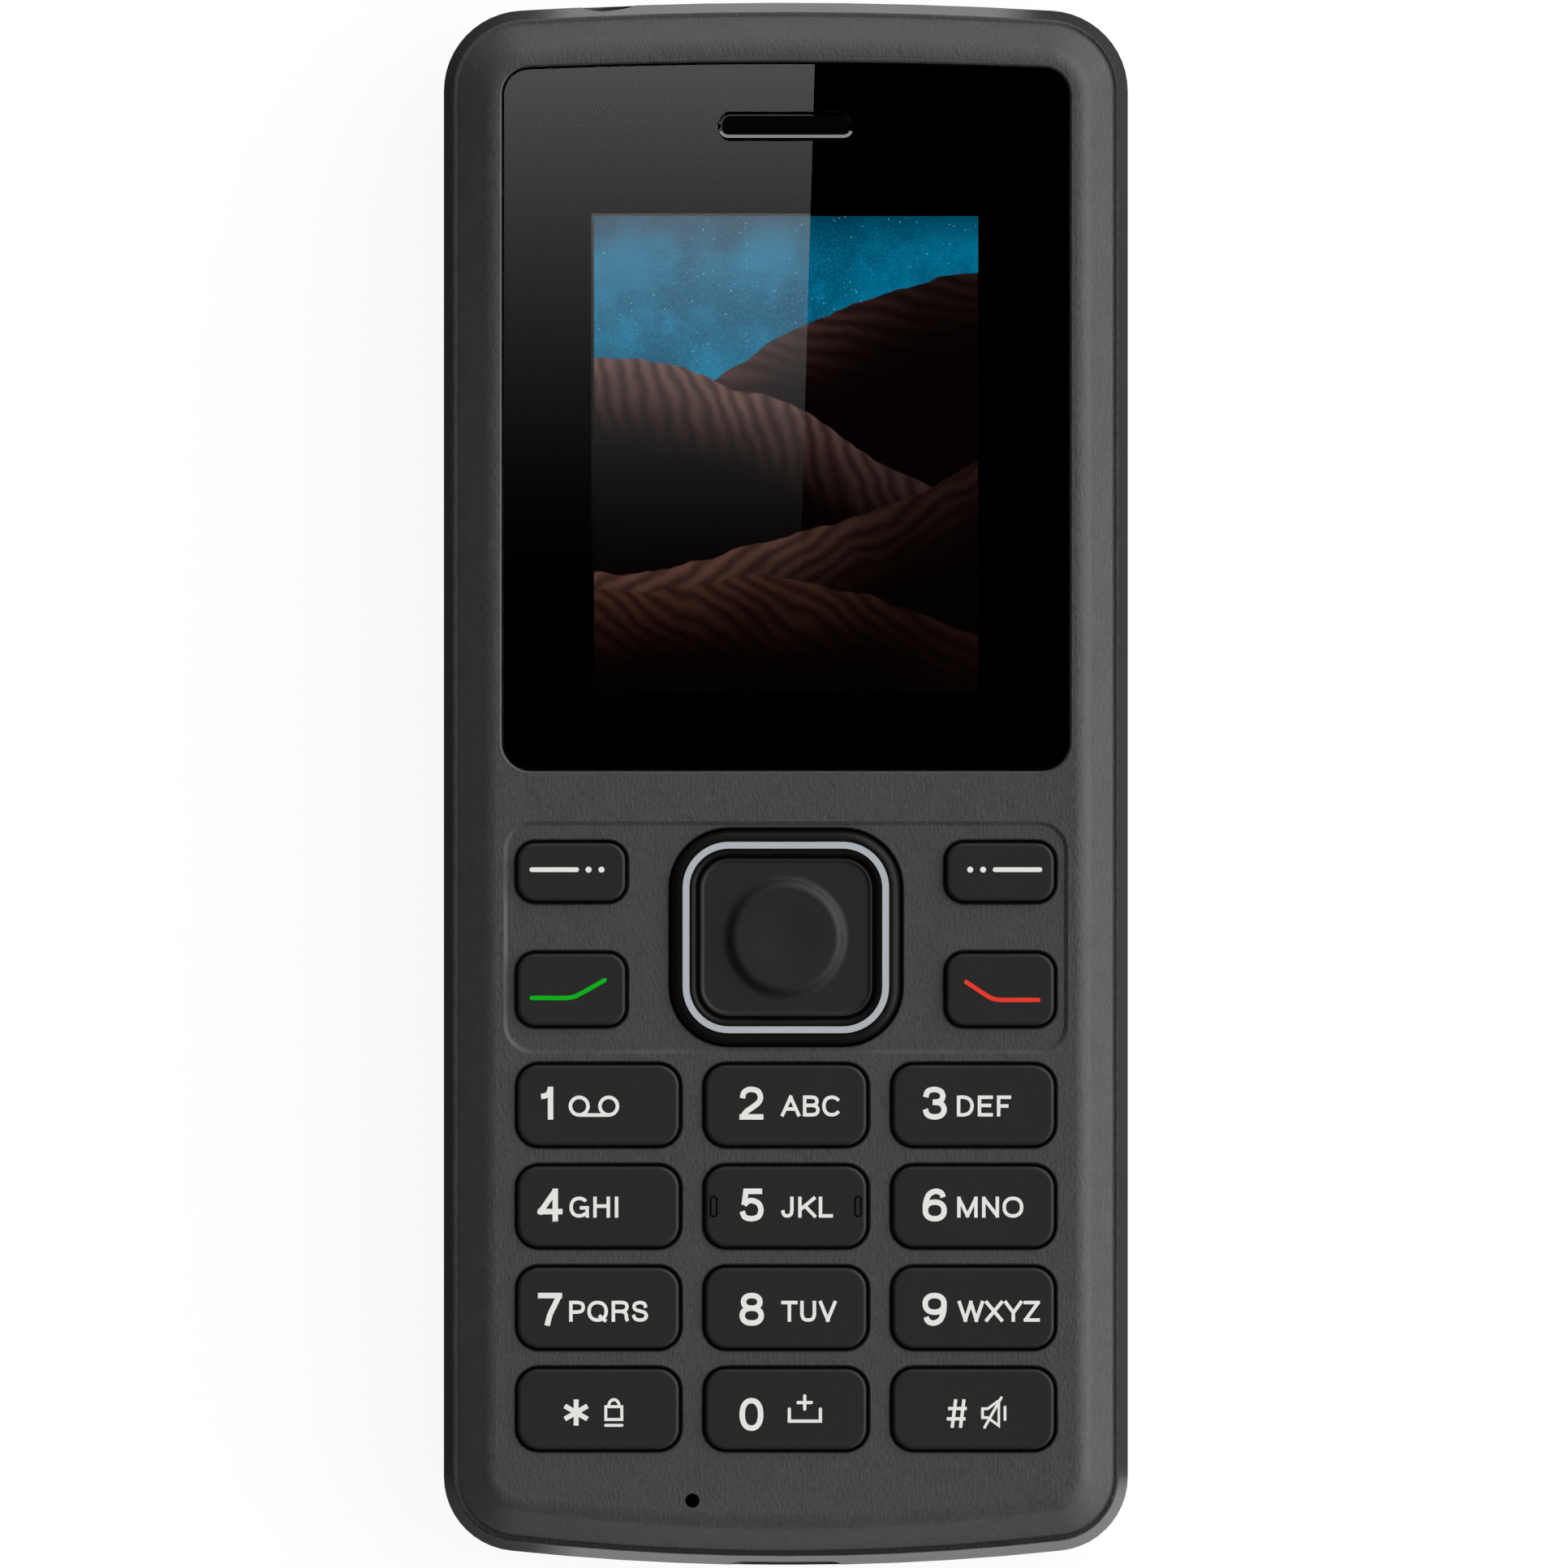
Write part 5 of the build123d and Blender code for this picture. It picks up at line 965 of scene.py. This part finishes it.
def markBattery(look):
    low = boxMm("battery_cap")[0]
    y, arm, right, left = low[1] + look["rise"], look["arm"], look["plusX"], look["minusX"]
    plus = [[(right - arm, y), (right + arm, y)], [(right, y - arm), (right, y + arm)]]
    minus = [[(left - arm, y), (left + arm, y)]]
    printLines("battery_marks", lines(look["width"], *plus, *minus, roundEnds=False), finishes["legend"],
               "battery", low[2] * mm, -1)


makeContacts(contactLook)
makeOptics(opticsLook)
markBattery(markLook)
print("contacts, optics and marks made")


# stage, lights and camera

view = {"distance": 3600.0, "lookZ": 8.0, "offsetX": -0.134, "offsetY": 0.0, "sensor": 36.0,
        "clipStart": 0.01}


def placeCamera(sizes):
    # far off, as the photograph shows no perspective
    data = bpy.data.cameras.new("Camera")
    camera = bpy.data.objects.new("Camera", data)
    bpy.context.scene.collection.objects.link(camera)
    across = photo["frame"] / photo["pixelsPerMm"]
    data.sensor_width = sizes["sensor"]
    data.lens = sizes["sensor"] * (sizes["distance"] - sizes["lookZ"]) / across
    data.clip_start = sizes["clipStart"]
    camera.location = (sizes["offsetX"] * mm, sizes["offsetY"] * mm, sizes["distance"] * mm)
    bpy.context.scene.camera = camera


roomLook = {
    # soft light from the right and the head end, over a weak fill
    "toKey": (0.93, 0.36), "keySpan": (0.15, 1.0), "key": 2.2, "fillSpan": (-0.8, 0.7), "fill": 0.75,
    "least": 0.07, "darkTop": (0.93, 0.985), "below": 0.9, "belowSpan": (0.7, 0.99), "belowFade": 0.7,
}


def lightRoom(look):
    world = bpy.data.worlds.new("Room")
    bpy.context.scene.world = world
    f = Finish("Room", world)
    x, y, z = f.axes(f.add("ShaderNodeTexCoord", out="Generated"))
    toKey = x * look["toKey"][0] + y * look["toKey"][1]
    key = toKey.ease(*look["keySpan"]) * look["key"]
    fill = toKey.ease(*look["fillSpan"]) * look["fill"] + look["least"]
    level = (key + fill) * (1.0 - z.ease(*look["darkTop"]))
    below = z < 0.0
    ground = look["below"] - z.abs().ease(*look["belowSpan"]) * look["belowFade"]
    level = level * (1.0 - below) + below * ground
    seen = f.add("ShaderNodeLightPath", out="Is Camera Ray")
    level = level * (1.0 - seen) + seen
    f.done(f.add("ShaderNodeBackground", Color=(1, 1, 1, 1), Strength=level), "ShaderNodeOutputWorld")


floorLook = {"reach": 1.6, "z": -0.00003, "paper": 0.82, "glow": 1.08, "glowShare": 0.85}


def layFloor(look):
    reach, z = look["reach"], look["z"]
    mesh = bpy.data.meshes.new("Floor")
    corners = [(-reach, -reach, z), (reach, -reach, z), (reach, reach, z), (-reach, reach, z)]
    mesh.from_pydata(corners, [], [(0, 1, 2, 3)])
    floor = bpy.data.objects.new("Floor", mesh)
    bpy.context.scene.collection.objects.link(floor)
    f = Finish("FloorWhite")
    seen = f.add("ShaderNodeLightPath", out="Is Camera Ray")
    for ray in ("Is Glossy Ray", "Is Transmission Ray"):
        seen = seen.bottom(f.add("ShaderNodeLightPath", out=ray))
    paper = f.add("ShaderNodeBsdfDiffuse", Color=grey(look["paper"]))
    white = f.add("ShaderNodeEmission", Color=(1, 1, 1, 1), Strength=look["glow"])
    shown = f.add("ShaderNodeMixShader", n0=seen * look["glowShare"], n1=paper, n2=white)
    below = f.add("ShaderNodeNewGeometry", out="Backfacing")  # clear from below, so the back can be looked at
    gone = f.add("ShaderNodeBsdfTransparent")
    mesh.materials.append(f.done(f.add("ShaderNodeMixShader", n0=below, n1=shown, n2=gone)))
    floor.visible_diffuse = False


def card(name, corners, shader):
    mesh = bpy.data.meshes.new(name)
    mesh.from_pydata([Vector(c) * mm for c in corners], [], [(0, 1, 2, 3)])
    piece = bpy.data.objects.new(name, mesh)
    bpy.context.scene.collection.objects.link(piece)
    mesh.materials.append(shader)
    piece.visible_camera = False
    piece.visible_shadow = False
    piece.visible_diffuse = False
    return piece


cardLook = {
    # cards that the rim mirrors, from the phone outwards, in millimetres
    "height": 0.4, "side": [(27, 50), (120, 110)], "corner": [(27, 50), (120, 110), (60, 150), (16, 62)],
    "levels": [(-1, 0.05), (1, 0.004)], "dim": 0.27,
    # a pale card beside the camera that the window mirrors, fading towards the keys
    "windowHeight": 500.0, "lensTop": 13.0, "window": [(-28, -14), (0.22, -14), (2.4, 62), (-28, 62)],
    "fadeFrom": 11.1, "fadeOver": 39.7, "fadePower": 2.6, "glow": 1.7,
}


def matt(name, level):
    f = Finish(name)
    return f.done(f.add("ShaderNodeBsdfDiffuse", Color=grey(level)))


def setCorner(look, side, end, shader):
    card("CornerCard", [(side * x, end * y, look["height"]) for x, y in look["corner"]], shader)


def setCards(look):
    near, far = look["side"]
    edge = [(near[0], -near[1]), (far[0], -far[1]), far, near]
    for side, level in look["levels"]:
        dark = matt("SideCard", level)
        card("SideCard", [(side * x, y, look["height"]) for x, y in edge], dark)
        setCorner(look, side, 1, dark)
    setCorner(look, -1, -1, matt("CornerCard", look["dim"]))
    spread = 1 + (look["windowHeight"] - look["lensTop"]) / (view["distance"] - look["lensTop"])
    f = Finish("WindowCard")
    along = f.axes(f.place())[1] / (mm * spread)
    fade = ((along - look["fadeFrom"]) / look["fadeOver"]).bottom(0.0) ** look["fadePower"]
    glow = f.add("ShaderNodeEmission", Color=(1, 1, 1, 1), Strength=fade * look["glow"])
    corners = [(x * spread, y * spread, look["windowHeight"]) for x, y in look["window"]]
    card("WindowCard", corners, f.done(glow))


placeCamera(view)
lightRoom(roomLook)
layFloor(floorLook)
setCards(cardLook)
bpy.context.scene.view_settings.view_transform = "Standard"
print("stage lit")
